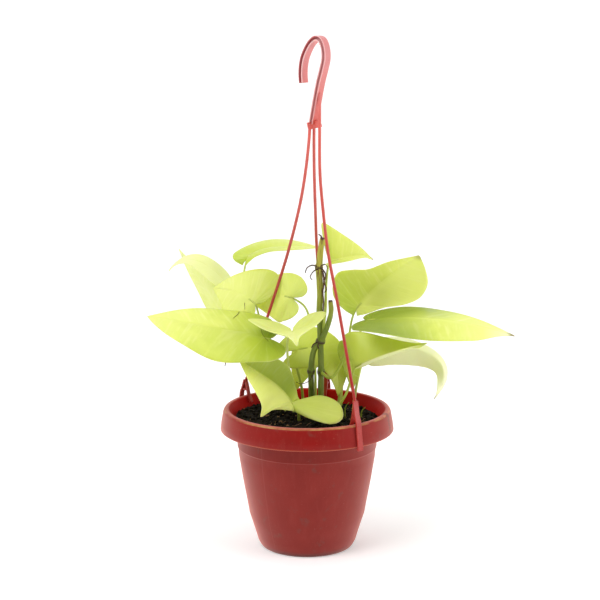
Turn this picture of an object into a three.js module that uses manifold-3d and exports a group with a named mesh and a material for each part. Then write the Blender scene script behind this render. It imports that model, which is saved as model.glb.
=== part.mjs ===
// Golden pothos with lime leaves in a red plastic hanging pot, in millimetres with +Z up.
// The origin is the centre of the pot's base. The front of the plant looks along -Y and +X is its right.
// Each leaf is one thin solid with its stalk, the vine with its roots and cut shoots is one solid,
// and the pot, the soil and the moulded hanger are one solid each.
import * as THREE from "three";
import { mergeVertices } from "three/addons/utils/BufferGeometryUtils.js";
import Module from "manifold-3d";

const wasm = await Module();
wasm.setup();

// Driving sizes of the pot, an ordinary 17 cm hanging pot
const POT_HEIGHT = 140;
const BASE_RADIUS = 44;
const WALL = 1.8;
const FLOOR = 2;
const LIP_INNER_RADIUS = 77.2;
const LIP_OUTER_RADIUS = 82.6;
const SKIRT_RADIUS = 86;
const SKIRT_BOTTOM = 119;
const NECK_RADIUS = 69.3;
const NECK_BOTTOM = 102;
const POT_SEGMENTS = 48;
const SOIL_SEGMENTS = 24;
const DRAIN_RADIUS = 4;
const DRAIN_CIRCLE = 26;
const DRAIN_COUNT = 4;

// Driving sizes of the soil
const SOIL_LEVEL = 130;
const SOIL_GAP = 0.3;
const HOLE_GAP = 0.3;

// Driving sizes of the hanger, one moulding: hook, shank, three strands and three clips
const STRAND_RADIUS = 1.5;
const STRIP_WIDTH = 8.5;
const STRIP_THICK = 5;
const FLANGE = 1.4;
const GROOVE = 2.8;
const HOOK_TURN = -45;
const CLIP_AZIMUTHS = { left: 142, back: 75, right: -55 };
const CLIP_APEX = { left: 157, back: 155, right: 163 };
const CLIP_RADIUS = 79.3;
const SHANK_X = 8;

// Driving sizes of the plant
const BLADE_THICK = 0.8;
const BLADE_ROWS = 10;
const TRACED_ROWS = 14;
const BLADE_COLUMNS = 3;
const STALK_RADIUS = 1.7;
const STALK_END_RADIUS = 0.9;
const STALK_RUN_IN = 9;
const STALK_SINK = 0.4;
const VEIN_START = 0.22;
const MIDRIB_STEP = 0.012;
const LOBE_SHARE = 0.4;
const NORMAL_STEP = 0.02;
const FACE_WEIGHT = 5;
const LEAST_UPRIGHT = 0.4;
const FLAT_TIP_START = 0.78;

const RAD = Math.PI / 180;
const vec = (p) => new THREE.Vector3(p[0], p[1], p[2]);
const mix = THREE.MathUtils.lerp;

// A closed geometry as a solid that can be joined and cut
function solid(geometry) {
  const plain = geometry.clone();
  plain.deleteAttribute("normal");
  plain.deleteAttribute("uv");
  const merged = mergeVertices(plain, 1e-4);
  return new wasm.Manifold(
    new wasm.Mesh({
      numProp: 3,
      vertProperties: merged.attributes.position.array,
      triVerts: new Uint32Array(merged.index.array),
    }),
  );
}

// A joined or cut solid back as a geometry
function geometryOf(body) {
  const mesh = body.getMesh();
  const geometry = new THREE.BufferGeometry();
  geometry.setAttribute("position", new THREE.BufferAttribute(mesh.vertProperties, 3));
  geometry.setIndex(new THREE.BufferAttribute(mesh.triVerts, 1));
  geometry.computeVertexNormals();
  return geometry;
}

const joined = (bodies) => bodies.reduce((all, body) => all.add(body));

// A closed tube along a row of points. sectionAt gives the outline's points at a share of the way,
// and reference is the direction that the outline's first axis keeps to.
function sweep(points, sectionAt, reference) {
  const positions = [];
  const index = [];
  const count = sectionAt(0).length;
  let side = vec(reference);
  points.forEach((point, i) => {
    const before = points[Math.max(i - 1, 0)];
    const after = points[Math.min(i + 1, points.length - 1)];
    const tangent = after.clone().sub(before).normalize();
    side = side.clone().addScaledVector(tangent, -side.dot(tangent)).normalize();
    const up = tangent.clone().cross(side);
    for (const [a, b] of sectionAt(i / (points.length - 1))) {
      const corner = point.clone().addScaledVector(side, a).addScaledVector(up, b);
      positions.push(corner.x, corner.y, corner.z);
    }
  });
  for (let i = 0; i < points.length - 1; i++) {
    for (let j = 0; j < count; j++) {
      const a = i * count + j;
      const b = i * count + ((j + 1) % count);
      index.push(a, b, b + count, a, b + count, a + count);
    }
  }
  const contour = sectionAt(0).map(([a, b]) => new THREE.Vector2(a, b));
  const last = (points.length - 1) * count;
  for (const [a, b, c] of THREE.ShapeUtils.triangulateShape(contour, [])) {
    index.push(a, c, b, last + a, last + b, last + c);
  }
  const geometry = new THREE.BufferGeometry();
  geometry.setAttribute("position", new THREE.Float32BufferAttribute(positions, 3));
  geometry.setIndex(index);
  return geometry;
}

const smoothPath = (points, steps) =>
  new THREE.CatmullRomCurve3(points.map(vec), false, "centripetal").getSpacedPoints(steps);

function ring(radius, sides) {
  return Array.from({ length: sides }, (_, i) => {
    const angle = (i * 2 * Math.PI) / sides;
    return [radius * Math.cos(angle), radius * Math.sin(angle)];
  });
}

const oblong = (width, thick) => [
  [-width / 2, -thick / 2],
  [width / 2, -thick / 2],
  [width / 2, thick / 2],
  [-width / 2, thick / 2],
];

// A round tube that tapers from one radius to another along its points
function stalk(points, from, to, sides, steps, extra = 0) {
  const taper = (share) => ring(mix(from, to, share) + extra, sides);
  return solid(sweep(smoothPath(points, steps), taper, [0.31, 0.87, 0.38]));
}

// The pot: one wall of even thickness with a turned-down skirt round its lip
function makePot() {
  const outside = [
    [BASE_RADIUS, 0],
    [46.6, 1.6],
    [49.2, 6],
    [51.1, 12.6],
    [54.3, 23],
    [57.8, 34],
    [60.6, 50],
    [64.3, 70],
    [67.9, 93],
    [68.5, NECK_BOTTOM - 0.6],
    [NECK_RADIUS, NECK_BOTTOM + 0.4],
    [NECK_RADIUS, 117],
    [79, 136.6],
    [80.8, 137.8],
    [84.5, SKIRT_BOTTOM],
    [SKIRT_RADIUS, SKIRT_BOTTOM],
    [LIP_OUTER_RADIUS + 0.5, 137.5],
    [LIP_OUTER_RADIUS - 0.6, 139.5],
    [LIP_OUTER_RADIUS - 2, POT_HEIGHT],
    [LIP_INNER_RADIUS + 1, POT_HEIGHT],
    [LIP_INNER_RADIUS, 138.9],
  ];
  const inside = [
    [NECK_RADIUS - WALL, 117],
    [NECK_RADIUS - WALL, NECK_BOTTOM],
    [64.3 - WALL, 70],
    [60.6 - WALL, 50],
    [57.8 - WALL, 34],
    [51.3 - WALL, 12.6],
    [BASE_RADIUS, FLOOR + 0.8],
    [BASE_RADIUS - 2, FLOOR],
  ];
  const profile = [[0, 0], ...outside, ...inside, [0, FLOOR]].map(([r, z]) => new THREE.Vector2(r, z));
  const wall = solid(new THREE.LatheGeometry(profile, POT_SEGMENTS).rotateX(Math.PI / 2));
  const drains = Array.from({ length: DRAIN_COUNT }, (_, i) => {
    const angle = ((i + 0.5) * 2 * Math.PI) / DRAIN_COUNT;
    const hole = new THREE.CylinderGeometry(DRAIN_RADIUS, DRAIN_RADIUS, 4 * FLOOR, 16).rotateX(Math.PI / 2);
    return solid(hole.translate(DRAIN_CIRCLE * Math.cos(angle), DRAIN_CIRCLE * Math.sin(angle), FLOOR / 2));
  });
  return wall.subtract(joined(drains));
}

// The height of the soil: a low mound behind the stems, lower at the back right, with coarse crumbs
function soilHeight(x, y) {
  const mound = 7 * Math.exp(-((x - 2) ** 2 + (y - 22) ** 2) / 900);
  const slope = -0.028 * x - 0.02 * y;
  const crumbs = 0.7 * Math.sin(0.41 * x + 0.23 * y) * Math.cos(0.37 * y - 0.19 * x);
  return SOIL_LEVEL + mound + slope + crumbs;
}

// The soil fills the pot to just under the lip and stands off the wall by a hair
function makeSoil() {
  const inset = WALL + SOIL_GAP;
  const side = [
    [BASE_RADIUS - 3, FLOOR + SOIL_GAP + 0.2],
    [51.1 - inset, 13.2],
    [57.6 - inset, 34],
    [60.4 - inset, 50],
    [64.1 - inset, 70],
    [NECK_RADIUS - inset - 0.4, NECK_BOTTOM],
    [NECK_RADIUS - inset - 0.4, 117.6],
    [72.4 - 0.5, 128],
  ];
  const rings = [60, 47, 34, 21, 9];
  const profile = [[0, FLOOR + SOIL_GAP], ...side, ...rings.map((r) => [r, SOIL_LEVEL]), [0, SOIL_LEVEL]];
  const points = profile.map(([r, z]) => new THREE.Vector2(r, z));
  const body = new THREE.LatheGeometry(points, SOIL_SEGMENTS).rotateX(Math.PI / 2);
  const place = body.attributes.position;
  for (let i = 0; i < place.count; i++) {
    const x = place.getX(i);
    const y = place.getY(i);
    if (place.getZ(i) > SOIL_LEVEL - 0.1) place.setZ(i, soilHeight(x, y));
  }
  return solid(body);
}

// The hanger's hook and shank follow one flat curve. Its points are places along the
// turned plane and heights, and the strip has a groove in each narrow side.
const HOOK_CURVE = [
  [-16.2, 459],
  [-17.0, 466],
  [-16.6, 474],
  [-14.6, 482.5],
  [-10.4, 490.5],
  [-4.6, 497.6],
  [2.2, 501.6],
  [8.4, 500],
  [12.6, 493],
  [13.6, 483],
  [10.6, 472],
  [6.8, 461],
  [1.6, 441],
  [-3.2, 420.5],
];

function hookPlace([along, z]) {
  const turn = HOOK_TURN * RAD;
  return [SHANK_X + along * Math.cos(turn), along * Math.sin(turn), z];
}

function grooved() {
  const w = STRIP_WIDTH / 2;
  const t = STRIP_THICK / 2;
  return [
    [-w, -t],
    [w, -t],
    [w, FLANGE - t],
    [w - GROOVE, FLANGE - t],
    [w - GROOVE, t - FLANGE],
    [w, t - FLANGE],
    [w, t],
    [-w, t],
    [-w, t - FLANGE],
    [GROOVE - w, t - FLANGE],
    [GROOVE - w, FLANGE - t],
    [-w, FLANGE - t],
  ];
}

// The three strands leave the foot of the shank side by side, spread, and run straight to the clips
const STRANDS = {
  left: [
    [2.6, 1, 421],
    [1.7, 4, 405],
    [-1.7, 9.6, 373],
    [-7, 15.4, 341],
    [-18.9, 24.2, 292],
    [-34.1, 33.3, 242],
  ],
  back: [
    [6.6, 3, 421],
    [6.5, 8.5, 404],
    [6.9, 17, 372],
    [8.2, 28, 333],
    [10, 39.7, 290],
  ],
  right: [
    [11.9, -4.6, 451],
    [11.7, -12, 415],
    [12, -20, 376],
    [14.4, -26.6, 346],
    [19.6, -36, 302],
    [28.2, -45.6, 257],
  ],
};

function clipFrame(name) {
  const angle = CLIP_AZIMUTHS[name] * RAD;
  const out = [Math.cos(angle), Math.sin(angle)];
  return {
    at: (radius, z) => [radius * out[0], radius * out[1], z],
    along: [-out[1], out[0], 0],
  };
}

// A clip straddles the lip: a wide strap outside with a catch under the skirt, a slim leg inside
function makeClip(name) {
  const { at, along } = clipFrame(name);
  const top = CLIP_APEX[name];
  const strap = [
    at(CLIP_RADIUS, top),
    at(81.4, 150),
    at(84.2, 143.5),
    at(85.0, 137),
    at(87.6, 119),
    at(87.8, 115.8),
  ];
  const leg = [at(CLIP_RADIUS, top), at(77.2, 150), at(75.4, 142), at(71.6, 134)];
  const catchBar = [at(87.8, 117.4), at(85.2, 117.6)];
  const bar = [at(76.4, 146.6), at(83, 146.6)];
  return joined([
    solid(sweep(strap.map(vec), () => oblong(6, 2), along)),
    solid(sweep(leg.map(vec), () => oblong(4, 2.2), along)),
    solid(sweep(bar.map(vec), () => oblong(4, 2), along)),
    solid(sweep(catchBar.map(vec), () => oblong(6, 1.8), along)),
  ]);
}

function makeHanger() {
  const turn = HOOK_TURN * RAD;
  const acrossPlane = [-Math.sin(turn), Math.cos(turn), 0];
  const hookPoints = smoothPath(HOOK_CURVE.map(hookPlace), 26);
  const pieces = [solid(sweep(hookPoints, grooved, acrossPlane))];
  const plate = smoothPath([[0.4, 1, 418], [6, 2.5, 419.5], [12.4, -4, 421]], 4);
  pieces.push(solid(sweep(plate, () => oblong(7, 3.2), [0, 0, 1])));
  for (const [name, start] of Object.entries(STRANDS)) {
    const route = [...start, clipFrame(name).at(CLIP_RADIUS, CLIP_APEX[name] - 2)];
    const strand = smoothPath(route, 10);
    pieces.push(solid(sweep(strand, () => ring(STRAND_RADIUS, 8), [0.2, 0.9, 0.1])));
    pieces.push(makeClip(name));
  }
  return joined(pieces);
}

// The vine: two stems from the soil that meet at a node, the old stem cut above it,
// a green shoot cut short, and dry aerial roots at the upper node
const STEMS = [
  { points: [[13.4, 6, 108], [13.4, 5, 140], [13.8, 5, 174], [13.3, 5, 205]], from: 3.1, to: 2.9 },
  {
    points: [[5.5, 12, 108], [4.6, 10, 150], [3.9, 8, 176], [6.9, 6, 197], [13.3, 5, 207]],
    from: 3,
    to: 2.8,
  },
  { points: [[13.3, 5, 205], [12.1, 5, 236], [12.7, 5, 254], [11.4, 5, 279]], from: 2.9, to: 3.3 },
  { points: [[11.4, 5, 279], [13.1, 5, 297], [14.9, 5, 309.5]], from: 3.5, to: 2.5 },
  { points: [[13.3, 4, 205], [20.3, -1, 223.8], [23.4, -2, 237], [22.7, -2, 248.5]], from: 2.9, to: 2.3 },
];
const VINE_NODES = [
  { at: [13.6, 5, 175], radius: 4 },
  { at: [13.2, 5, 206], radius: 4.3 },
  { at: [11.6, 5, 280], radius: 4.1 },
];
const ROOTS = [
  [[11, 3, 281], [5, 0, 283], [0, -3, 281], [-2, -4, 276]],
  [[11, 2, 279], [6, -2, 277], [3, -3, 272], [5, -5, 269]],
  [[12, 3, 281], [18, -1, 284], [20, -3, 280]],
  [[14, 3, 280], [18, 0, 274], [17, -1, 266], [19, -1, 259], [17, 0, 256]],
  [[12, 4, 206], [6, -1, 204], [4.5, -2.5, 201]],
];

function makeVine() {
  const pieces = STEMS.map((s) => stalk(s.points, s.from, s.to, 10, 8));
  for (const node of VINE_NODES) {
    const knot = new THREE.SphereGeometry(node.radius, 10, 6).translate(...node.at);
    pieces.push(solid(knot));
  }
  for (const root of ROOTS) pieces.push(stalk(root, 0.8, 0.6, 5, 6));
  return joined(pieces);
}

// What a stem or stalk takes out of its neighbours: itself with a little clearance all round
function vineClearance() {
  const pieces = STEMS.map((s) => {
    const low = [s.points[0][0], s.points[0][1], s.points[0][2] - HOLE_GAP];
    return stalk([low, ...s.points.slice(1)], s.from, s.to, 10, 8, HOLE_GAP);
  });
  for (const node of VINE_NODES) {
    pieces.push(solid(new THREE.SphereGeometry(node.radius + HOLE_GAP, 10, 6).translate(...node.at)));
  }
  for (const root of ROOTS) pieces.push(stalk(root, 0.8, 0.6, 5, 6, HOLE_GAP));
  return joined(pieces);
}

// Half of a heart-shaped leaf laid flat, as shares of its length and of its half-width:
// from the notch round the back lobe to the widest place and on to the drawn-out tip
function halfOutline(fullness) {
  const path = new THREE.Path();
  path.moveTo(-0.05, 0.08);
  path.bezierCurveTo(-0.16, 0.1, -0.26, 0.5, 0, 0.9);
  path.bezierCurveTo(0.2, 1.13, 0.62, fullness, 1, 0.012);
  return path.getSpacedPoints(BLADE_ROWS);
}

// A point of the blade's middle surface. along and across are shares of the length and of the
// half-width, and side is 1 on the left of the midrib and -1 on its right. The tip itself lies flat.
function bladePoint(leaf, along, across, side) {
  const share = THREE.MathUtils.clamp(along, 0, 1);
  const half = side > 0 ? leaf.left : leaf.right;
  const centre = leaf.rib.getPointAt(share);
  const tangent = leaf.rib.getTangentAt(share);
  centre.addScaledVector(tangent, (along - share) * leaf.length);
  const face = vec(leaf.face[0]).lerp(vec(leaf.face[1]), share);
  const normal = face.addScaledVector(tangent, -face.dot(tangent)).normalize();
  const outward = normal.clone().cross(tangent).multiplyScalar(side);
  const opened = 1 - THREE.MathUtils.smoothstep(share, FLAT_TIP_START, 1);
  const lift = mix(half.lift[0], half.lift[1], share) * opened * RAD;
  const curl = mix(half.curl[0], half.curl[1], share) * RAD || 1e-6;
  const radius = half.width / curl;
  const turned = curl * across;
  const out = radius * (Math.sin(lift + turned) - Math.sin(lift));
  const up = radius * (Math.cos(lift) - Math.cos(lift + turned));
  const [size, waves, phase] = leaf.wave;
  const ripple = size * across * across * Math.sin(2 * Math.PI * waves * along + phase);
  return centre.addScaledVector(outward, out).addScaledVector(normal, up + ripple);
}

// The upward direction of the middle surface, from two short steps on it
function bladeNormal(leaf, along, across, side) {
  const step = 0.01;
  const half = side > 0 ? leaf.left : leaf.right;
  const here = bladePoint(leaf, along, across, side);
  const onward = bladePoint(leaf, along + step, across, side).sub(here);
  const outward = bladePoint(leaf, along, across + step, side).sub(here);
  if (across === 0) {
    const other = bladePoint(leaf, along, step, -side).sub(here);
    const otherWidth = side > 0 ? leaf.right.width : leaf.left.width;
    outward.divideScalar(half.width).sub(other.divideScalar(otherWidth));
  }
  return onward.cross(outward).multiplyScalar(side).normalize();
}

// A place on a half whose outline is laid flat: its middle point and upward direction
function flatColumn(leaf, i, reach, side) {
  const half = side > 0 ? leaf.left : leaf.right;
  const edge = half.outline[i];
  const veinRoot = Math.max(MIDRIB_STEP * i, (edge.x - VEIN_START) / (1 - VEIN_START));
  const backward = edge.x < 0 ? edge.x * half.lobe : edge.x;
  const along = mix(veinRoot, backward, reach);
  const across = edge.y * reach;
  return [bladePoint(leaf, along, across, side), bladeNormal(leaf, along, across, side)];
}

// A point of a half whose margin is drawn in space: on the line from the midrib to the margin,
// swelled to the upper side. The back lobe takes the first LOBE_SHARE of the rows.
function tracedPoint(leaf, share, reach, side) {
  const half = side > 0 ? leaf.left : leaf.right;
  const past = (share - LOBE_SHARE) / (1 - LOBE_SHARE);
  const climb = Math.max(MIDRIB_STEP * BLADE_ROWS * share, past);
  const round = past < 0 ? (half.lobeEnd * share) / LOBE_SHARE : mix(half.lobeEnd, 1, past);
  const root = leaf.rib.getPointAt(climb);
  const edge = half.margin.getPointAt(round);
  const swell = half.swell * root.distanceTo(edge) * Math.sin(Math.PI * reach);
  const face = vec(leaf.face[0]).lerp(vec(leaf.face[1]), climb).normalize();
  return root.lerp(edge, reach).addScaledVector(face, swell);
}

function tracedNormal(leaf, share, reach, side) {
  const before = Math.max(share - NORMAL_STEP, 0);
  const after = Math.min(share + NORMAL_STEP, 1);
  const inner = Math.max(reach - NORMAL_STEP, 0);
  const outer = Math.min(reach + NORMAL_STEP, 1);
  const onward = tracedPoint(leaf, after, reach, side).sub(tracedPoint(leaf, before, reach, side));
  const outward = tracedPoint(leaf, share, outer, side).sub(tracedPoint(leaf, share, inner, side));
  return onward.cross(outward).multiplyScalar(side).normalize();
}

// The thickness direction keeps near the leaf's facing, so that both faces stay alike in a bend,
// and is longer where it leans, so that the blade stays as thick
function tracedColumn(leaf, share, reach, side) {
  const normal = tracedNormal(leaf, share, reach, side);
  if (reach === 0) normal.add(tracedNormal(leaf, share, 0, -side)).normalize();
  const face = vec(leaf.face[0]).lerp(vec(leaf.face[1]), share).normalize();
  const through = face.multiplyScalar(FACE_WEIGHT).add(normal).normalize();
  through.divideScalar(Math.max(through.dot(normal), LEAST_UPRIGHT));
  return [tracedPoint(leaf, share, reach, side), through];
}

// The upward direction on the midrib, where the stalk joins
const midribUp = (leaf, share) =>
  leaf.left.margin
    ? tracedColumn(leaf, mix(LOBE_SHARE, 1, share), 0, 1)[1]
    : bladeNormal(leaf, share, 0, 1);

// The blade as a closed sheet: a grid on each half, both faces with the same triangles, and a rim
function makeBlade(leaf) {
  const columns = [];
  const traced = Boolean(leaf.left.margin);
  const steps = traced ? TRACED_ROWS : BLADE_ROWS;
  const addColumn = (side, i, j) => {
    const reach = j / BLADE_COLUMNS;
    columns.push(traced ? tracedColumn(leaf, i / steps, reach, side) : flatColumn(leaf, i, reach, side));
    return columns.length - 1;
  };
  const shared = Array.from({ length: steps + 1 }, (_, i) => addColumn(1, i, 0));
  const grid = {};
  for (const side of [1, -1]) {
    grid[side] = shared.map((middle, i) => {
      const row = [middle];
      for (let j = 1; j <= BLADE_COLUMNS; j++) row.push(addColumn(side, i, j));
      return row;
    });
  }
  const count = columns.length;
  const positions = [];
  for (const face of [1, -1]) {
    for (const [middle, normal] of columns) {
      const corner = middle.clone().addScaledVector(normal, (face * BLADE_THICK) / 2);
      positions.push(corner.x, corner.y, corner.z);
    }
  }
  const index = [];
  const addTriangle = (a, b, c) => index.push(a, b, c, a + count, c + count, b + count);
  for (const side of [1, -1]) {
    for (let i = 0; i < steps; i++) {
      for (let j = 0; j < BLADE_COLUMNS; j++) {
        const a = grid[side][i][j];
        const b = grid[side][i + 1][j];
        const c = grid[side][i + 1][j + 1];
        const d = grid[side][i][j + 1];
        if (side > 0) {
          addTriangle(a, b, c);
          addTriangle(a, c, d);
        } else {
          addTriangle(a, c, b);
          addTriangle(a, d, c);
        }
      }
    }
  }
  const left = grid[1];
  const right = grid[-1];
  const rim = [
    ...left[0].slice(0, -1),
    ...left.map((row) => row[BLADE_COLUMNS]),
    ...left[steps].slice(0, -1).reverse(),
    ...right[steps].slice(1),
    ...right.map((row) => row[BLADE_COLUMNS]).reverse().slice(1),
    ...right[0].slice(1, -1).reverse(),
  ];
  rim.forEach((a, i) => {
    const b = rim[(i + 1) % rim.length];
    index.push(a, b, b + count, a, b + count, a + count);
  });
  const geometry = new THREE.BufferGeometry();
  geometry.setAttribute("position", new THREE.Float32BufferAttribute(positions, 3));
  geometry.setIndex(index);
  return solid(geometry);
}

// The stalk runs on under the midrib for a short way, as a thick vein, so that blade and stalk are one
function stalkPoints(leaf) {
  const runIn = [0.5 * STALK_RUN_IN, STALK_RUN_IN].map((distance) => {
    const share = distance / leaf.length;
    return leaf.rib.getPointAt(share).addScaledVector(midribUp(leaf, share), -STALK_SINK);
  });
  const junction = vec(leaf.midrib[0]).addScaledVector(midribUp(leaf, 0), -1.75 * STALK_SINK);
  return [...leaf.stalk, ...[junction, ...runIn].map((p) => [p.x, p.y, p.z])];
}

function makeLeaf(leaf) {
  leaf.rib = new THREE.CubicBezierCurve3(...leaf.midrib.map(vec));
  leaf.length = leaf.rib.getLength();
  const points = stalkPoints(leaf);
  const tube = stalk(points, STALK_RADIUS, STALK_END_RADIUS, 6, points.length + 1);
  return makeBlade(leaf).add(tube);
}

const stalkClearance = (leaf) =>
  stalk(stalkPoints(leaf), STALK_RADIUS, STALK_END_RADIUS, 6, leaf.stalk.length + 4, HOLE_GAP);

// The leaves. midrib: from the stalk to the tip. face: where the upper side looks at the base and at
// the tip. stalk: its route up to the blade. wave: height of the edge's waves, how many, their phase.
// A plain half is a half-width, lift from flat at base and tip, curl of its section, how full it is
// towards the tip, and the length of its back lobe. A bent half that no such numbers describe is
// traced instead: its margin's points from the notch to the tip, the margin's share at which the
// back lobe ends, and how far the blade swells between midrib and margin.
const half = (width, lift, curl = [0, 0], fullness = 0.6, lobe = 1) => ({
  width,
  lift,
  curl,
  lobe,
  outline: halfOutline(fullness),
});
const traced = (margin, lobeEnd, swell) => ({
  margin: new THREE.CatmullRomCurve3(margin.map(vec), false, "centripetal"),
  lobeEnd,
  swell,
});
const LEAVES = [
  {
    name: "leaf_left_large",
    midrib: [[-36, -12, 212], [-68, -15, 219], [-116, -22, 232], [-155, -20, 236]],
    face: [[0.1, -0.42, 0.9], [0, -0.38, 0.92]],
    left: half(36, [0, 0], [-16, 0], 1.9, 0.8),
    right: half(44, [0, 2], [-16, 0], 0.75, 0.35),
    wave: [1.2, 1.6, 0.4],
    stalk: [[-20, 6, 112], [-24, 8, 150], [-29, 5, 180], [-31, -4, 199]],
    tint: 0xd3de5c,
  },
  {
    name: "leaf_front_wings",
    midrib: [[-14.5, -14, 220], [-13.5, -34, 224.5], [-11.5, -60, 225], [-10, -84, 220.5]],
    face: [[0, -0.02, 1], [0, -0.02, 1]],
    left: traced(
      [
        [-13.5, -4, 222], [-8, -1, 228], [2, -3, 235], [14.5, -9, 239], [18, -20, 238.5],
        [9, -42, 232], [-4, -66, 229], [-8, -77, 226.5], [-9, -84, 221],
      ],
      0.3,
      -0.08,
    ),
    right: traced(
      [
        [-16.5, -4, 221], [-28.5, 2, 225.5], [-44.5, -1, 229.5], [-57.5, -14, 232], [-51.5, -30, 230.5],
        [-40.5, -48, 228.5], [-27, -64, 228.5], [-17.5, -76, 227.5], [-10.5, -84, 221],
      ],
      0.3,
      -0.08,
    ),
    stalk: [[-12, 4, 112], [-14, 6, 150], [-19, 4, 188], [-19, -1, 208]],
    tint: 0xe4ee88,
  },
  {
    name: "leaf_front_low",
    midrib: [[-14, -28, 149.5], [-22.5, -20, 168.5], [-44, -22, 175], [-65, -36, 197.5]],
    face: [[0, -0.8, 0.6], [-0.2, -0.8, 0.5]],
    left: traced(
      [
        [-12.5, -33, 144.5], [-25.5, -44, 149], [-35.5, -54, 150.5], [-44.5, -59, 145.5], [-43.5, -59, 156.5],
        [-50, -56, 170.5], [-57.5, -50, 182], [-65.5, -38, 195.5],
      ],
      0.3,
      0.06,
    ),
    right: traced(
      [
        [-9, -33, 143.5], [4.5, -47, 140], [24.5, -55, 137.5], [34.5, -44, 141], [31, -28, 151.5],
        [11.5, -18, 157], [-7, -23, 153], [-11, -21, 166], [-18.5, -24, 187.5], [-38, -31, 199.5],
        [-63, -36, 200],
      ],
      0.6,
      0.03,
    ),
    stalk: [[-8, -10, 112], [-8, -16, 130], [-9, -24, 142]],
    tint: 0xd0dd55,
  },
  {
    name: "leaf_left_round",
    midrib: [[-52, 44, 236], [-64, 50, 245], [-80, 58, 250], [-96, 66, 248]],
    face: [[0.1, -0.9, 0.4], [0, -0.9, 0.5]],
    left: half(38, [-10, 0], [-8, 0], 0.6, 0.8),
    right: half(41, [5, 5], [-8, 0], 0.35, 0.8),
    wave: [1, 1.5, 0],
    stalk: [[-20, 32, 112], [-24, 38, 150], [-38, 47, 195], [-49, 48, 225]],
    tint: 0xdbe560,
  },
  {
    name: "leaf_left_arched",
    midrib: [[-77, 86, 241], [-92, 86, 264], [-122, 84, 290], [-142, 80, 264]],
    face: [[0.75, -0.22, 0.6], [-0.9, -0.2, 0.3]],
    left: half(22, [0, 0], [-10, 0]),
    right: half(22, [0, 0], [-10, 0]),
    wave: [1, 1.5, 0],
    stalk: [[-30, 48, 112], [-40, 60, 150], [-66, 80, 195], [-79, 86, 230]],
    tint: 0xe2ec7e,
  },
  {
    name: "leaf_far_left",
    midrib: [[-88, 108, 211], [-100, 110, 232], [-122, 112, 262], [-134, 112, 282]],
    face: [[-0.85, -0.45, 0.2], [-0.85, -0.45, 0.2]],
    left: half(24, [0, 0], [-10, 0]),
    right: half(24, [0, 0], [-10, 0]),
    wave: [1, 1.5, 0],
    stalk: [[-24, 56, 112], [-34, 68, 150], [-62, 98, 188], [-82, 108, 202]],
    tint: 0xe6f08a,
  },
  {
    name: "leaf_top_left",
    midrib: [[-62, 76, 276], [-59, 76, 286], [-39.5, 76, 293.5], [11.5, 75, 289]],
    face: [[-0.8, -0.6, 0.4], [0, -0.5, 0.8]],
    left: traced(
      [
        [-66, 77, 270], [-74.5, 79, 275], [-76, 84, 280], [-63, 93, 287.5], [-42, 97, 293.5],
        [-22.5, 95, 294.5], [-5, 86, 293], [11.5, 76, 289.5],
      ],
      0.2,
      0.08,
    ),
    right: traced(
      [
        [-63, 74, 270], [-59.5, 68, 274.5], [-51.5, 59, 282], [-37.5, 55, 287.5], [-20, 58, 288.5],
        [-4, 65, 288.5], [11.5, 74, 288.5],
      ],
      0.2,
      0.08,
    ),
    stalk: [[-14, 44, 112], [-26, 54, 160], [-56, 77, 215], [-65, 78, 256]],
    tint: 0xe0ea78,
  },
  {
    name: "leaf_back_round",
    midrib: [[-15, 46, 242], [-28, 54, 245], [-46, 62, 242], [-64, 68, 237]],
    face: [[0.15, -0.9, 0.3], [0.1, -0.9, 0.3]],
    left: half(29, [0, 0], [-8, 0], 0.6, 1.4),
    right: half(26, [0, 0], [-8, 0], 0.6, 1.4),
    wave: [1, 1.5, 0],
    stalk: [[4, 48, 112], [3, 49, 160], [5, 50, 205], [-2, 50, 232]],
    tint: 0xdde866,
  },
  {
    name: "leaf_behind_stems",
    midrib: [[-8, 29, 192], [14, 31, 200], [36, 27, 186], [31, 19, 147]],
    face: [[0.1, -0.75, 0.65], [0.4, -0.85, 0.2]],
    left: half(24, [5, 5], [-10, 0], 0.6, 1.6),
    right: half(24, [5, 5], [-10, 0], 0.6, 1.6),
    wave: [1, 1.5, 0],
    stalk: [[-3, 34, 112], [-5, 34, 150], [-11, 34, 180]],
    tint: 0xb2c340,
  },
  {
    name: "leaf_back_small",
    midrib: [[3, 60, 186], [-2, 59, 176], [-7, 58, 162], [-10, 57, 144]],
    face: [[0, -0.9, 0.4], [0, -0.9, 0.2]],
    left: half(17, [5, 5], [-10, 0]),
    right: half(17, [5, 5], [-10, 0]),
    wave: [0.6, 1.5, 0],
    stalk: [[8, 59, 112], [9, 61, 150], [7, 65, 180]],
    tint: 0xd8e470,
  },
  {
    name: "leaf_top_right",
    midrib: [[22, 6, 285], [36, 3, 289], [52, 6, 297], [65, 10, 287]],
    face: [[0, -0.6, 0.8], [0, -0.4, 0.9]],
    left: half(42, [40, 25], [0, 0], 0.05, 0.2),
    right: half(24, [40, 15], [0, 0], 0.6, 0.2),
    wave: [0.8, 1.5, 0],
    stalk: [[15, 4, 212], [18, 5, 238], [19, 6, 266]],
    tint: 0xd9e463,
  },
  {
    name: "leaf_right_upper",
    midrib: [[49.5, 40, 231], [64.5, 40, 253], [91.5, 40, 273.5], [112.5, 40, 286]],
    face: [[0.05, -0.95, 0.3], [0.05, -0.95, 0.3]],
    left: traced(
      [
        [46.5, 40, 225], [36.5, 38, 232], [27, 36.5, 244.5], [26, 37, 258], [31, 39, 269],
        [45, 42, 271.5], [61.5, 43, 272], [81.5, 43, 279.5], [112, 40.5, 286.5],
      ],
      0.35,
      -0.05,
    ),
    right: traced(
      [
        [50.5, 40, 224.5], [59.5, 38, 227], [77.5, 37, 233.5], [99.5, 37.5, 237], [114.5, 39.5, 244],
        [121.5, 42, 257], [119, 42, 272], [113.5, 40.5, 285],
      ],
      0.3,
      -0.05,
    ),
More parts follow.
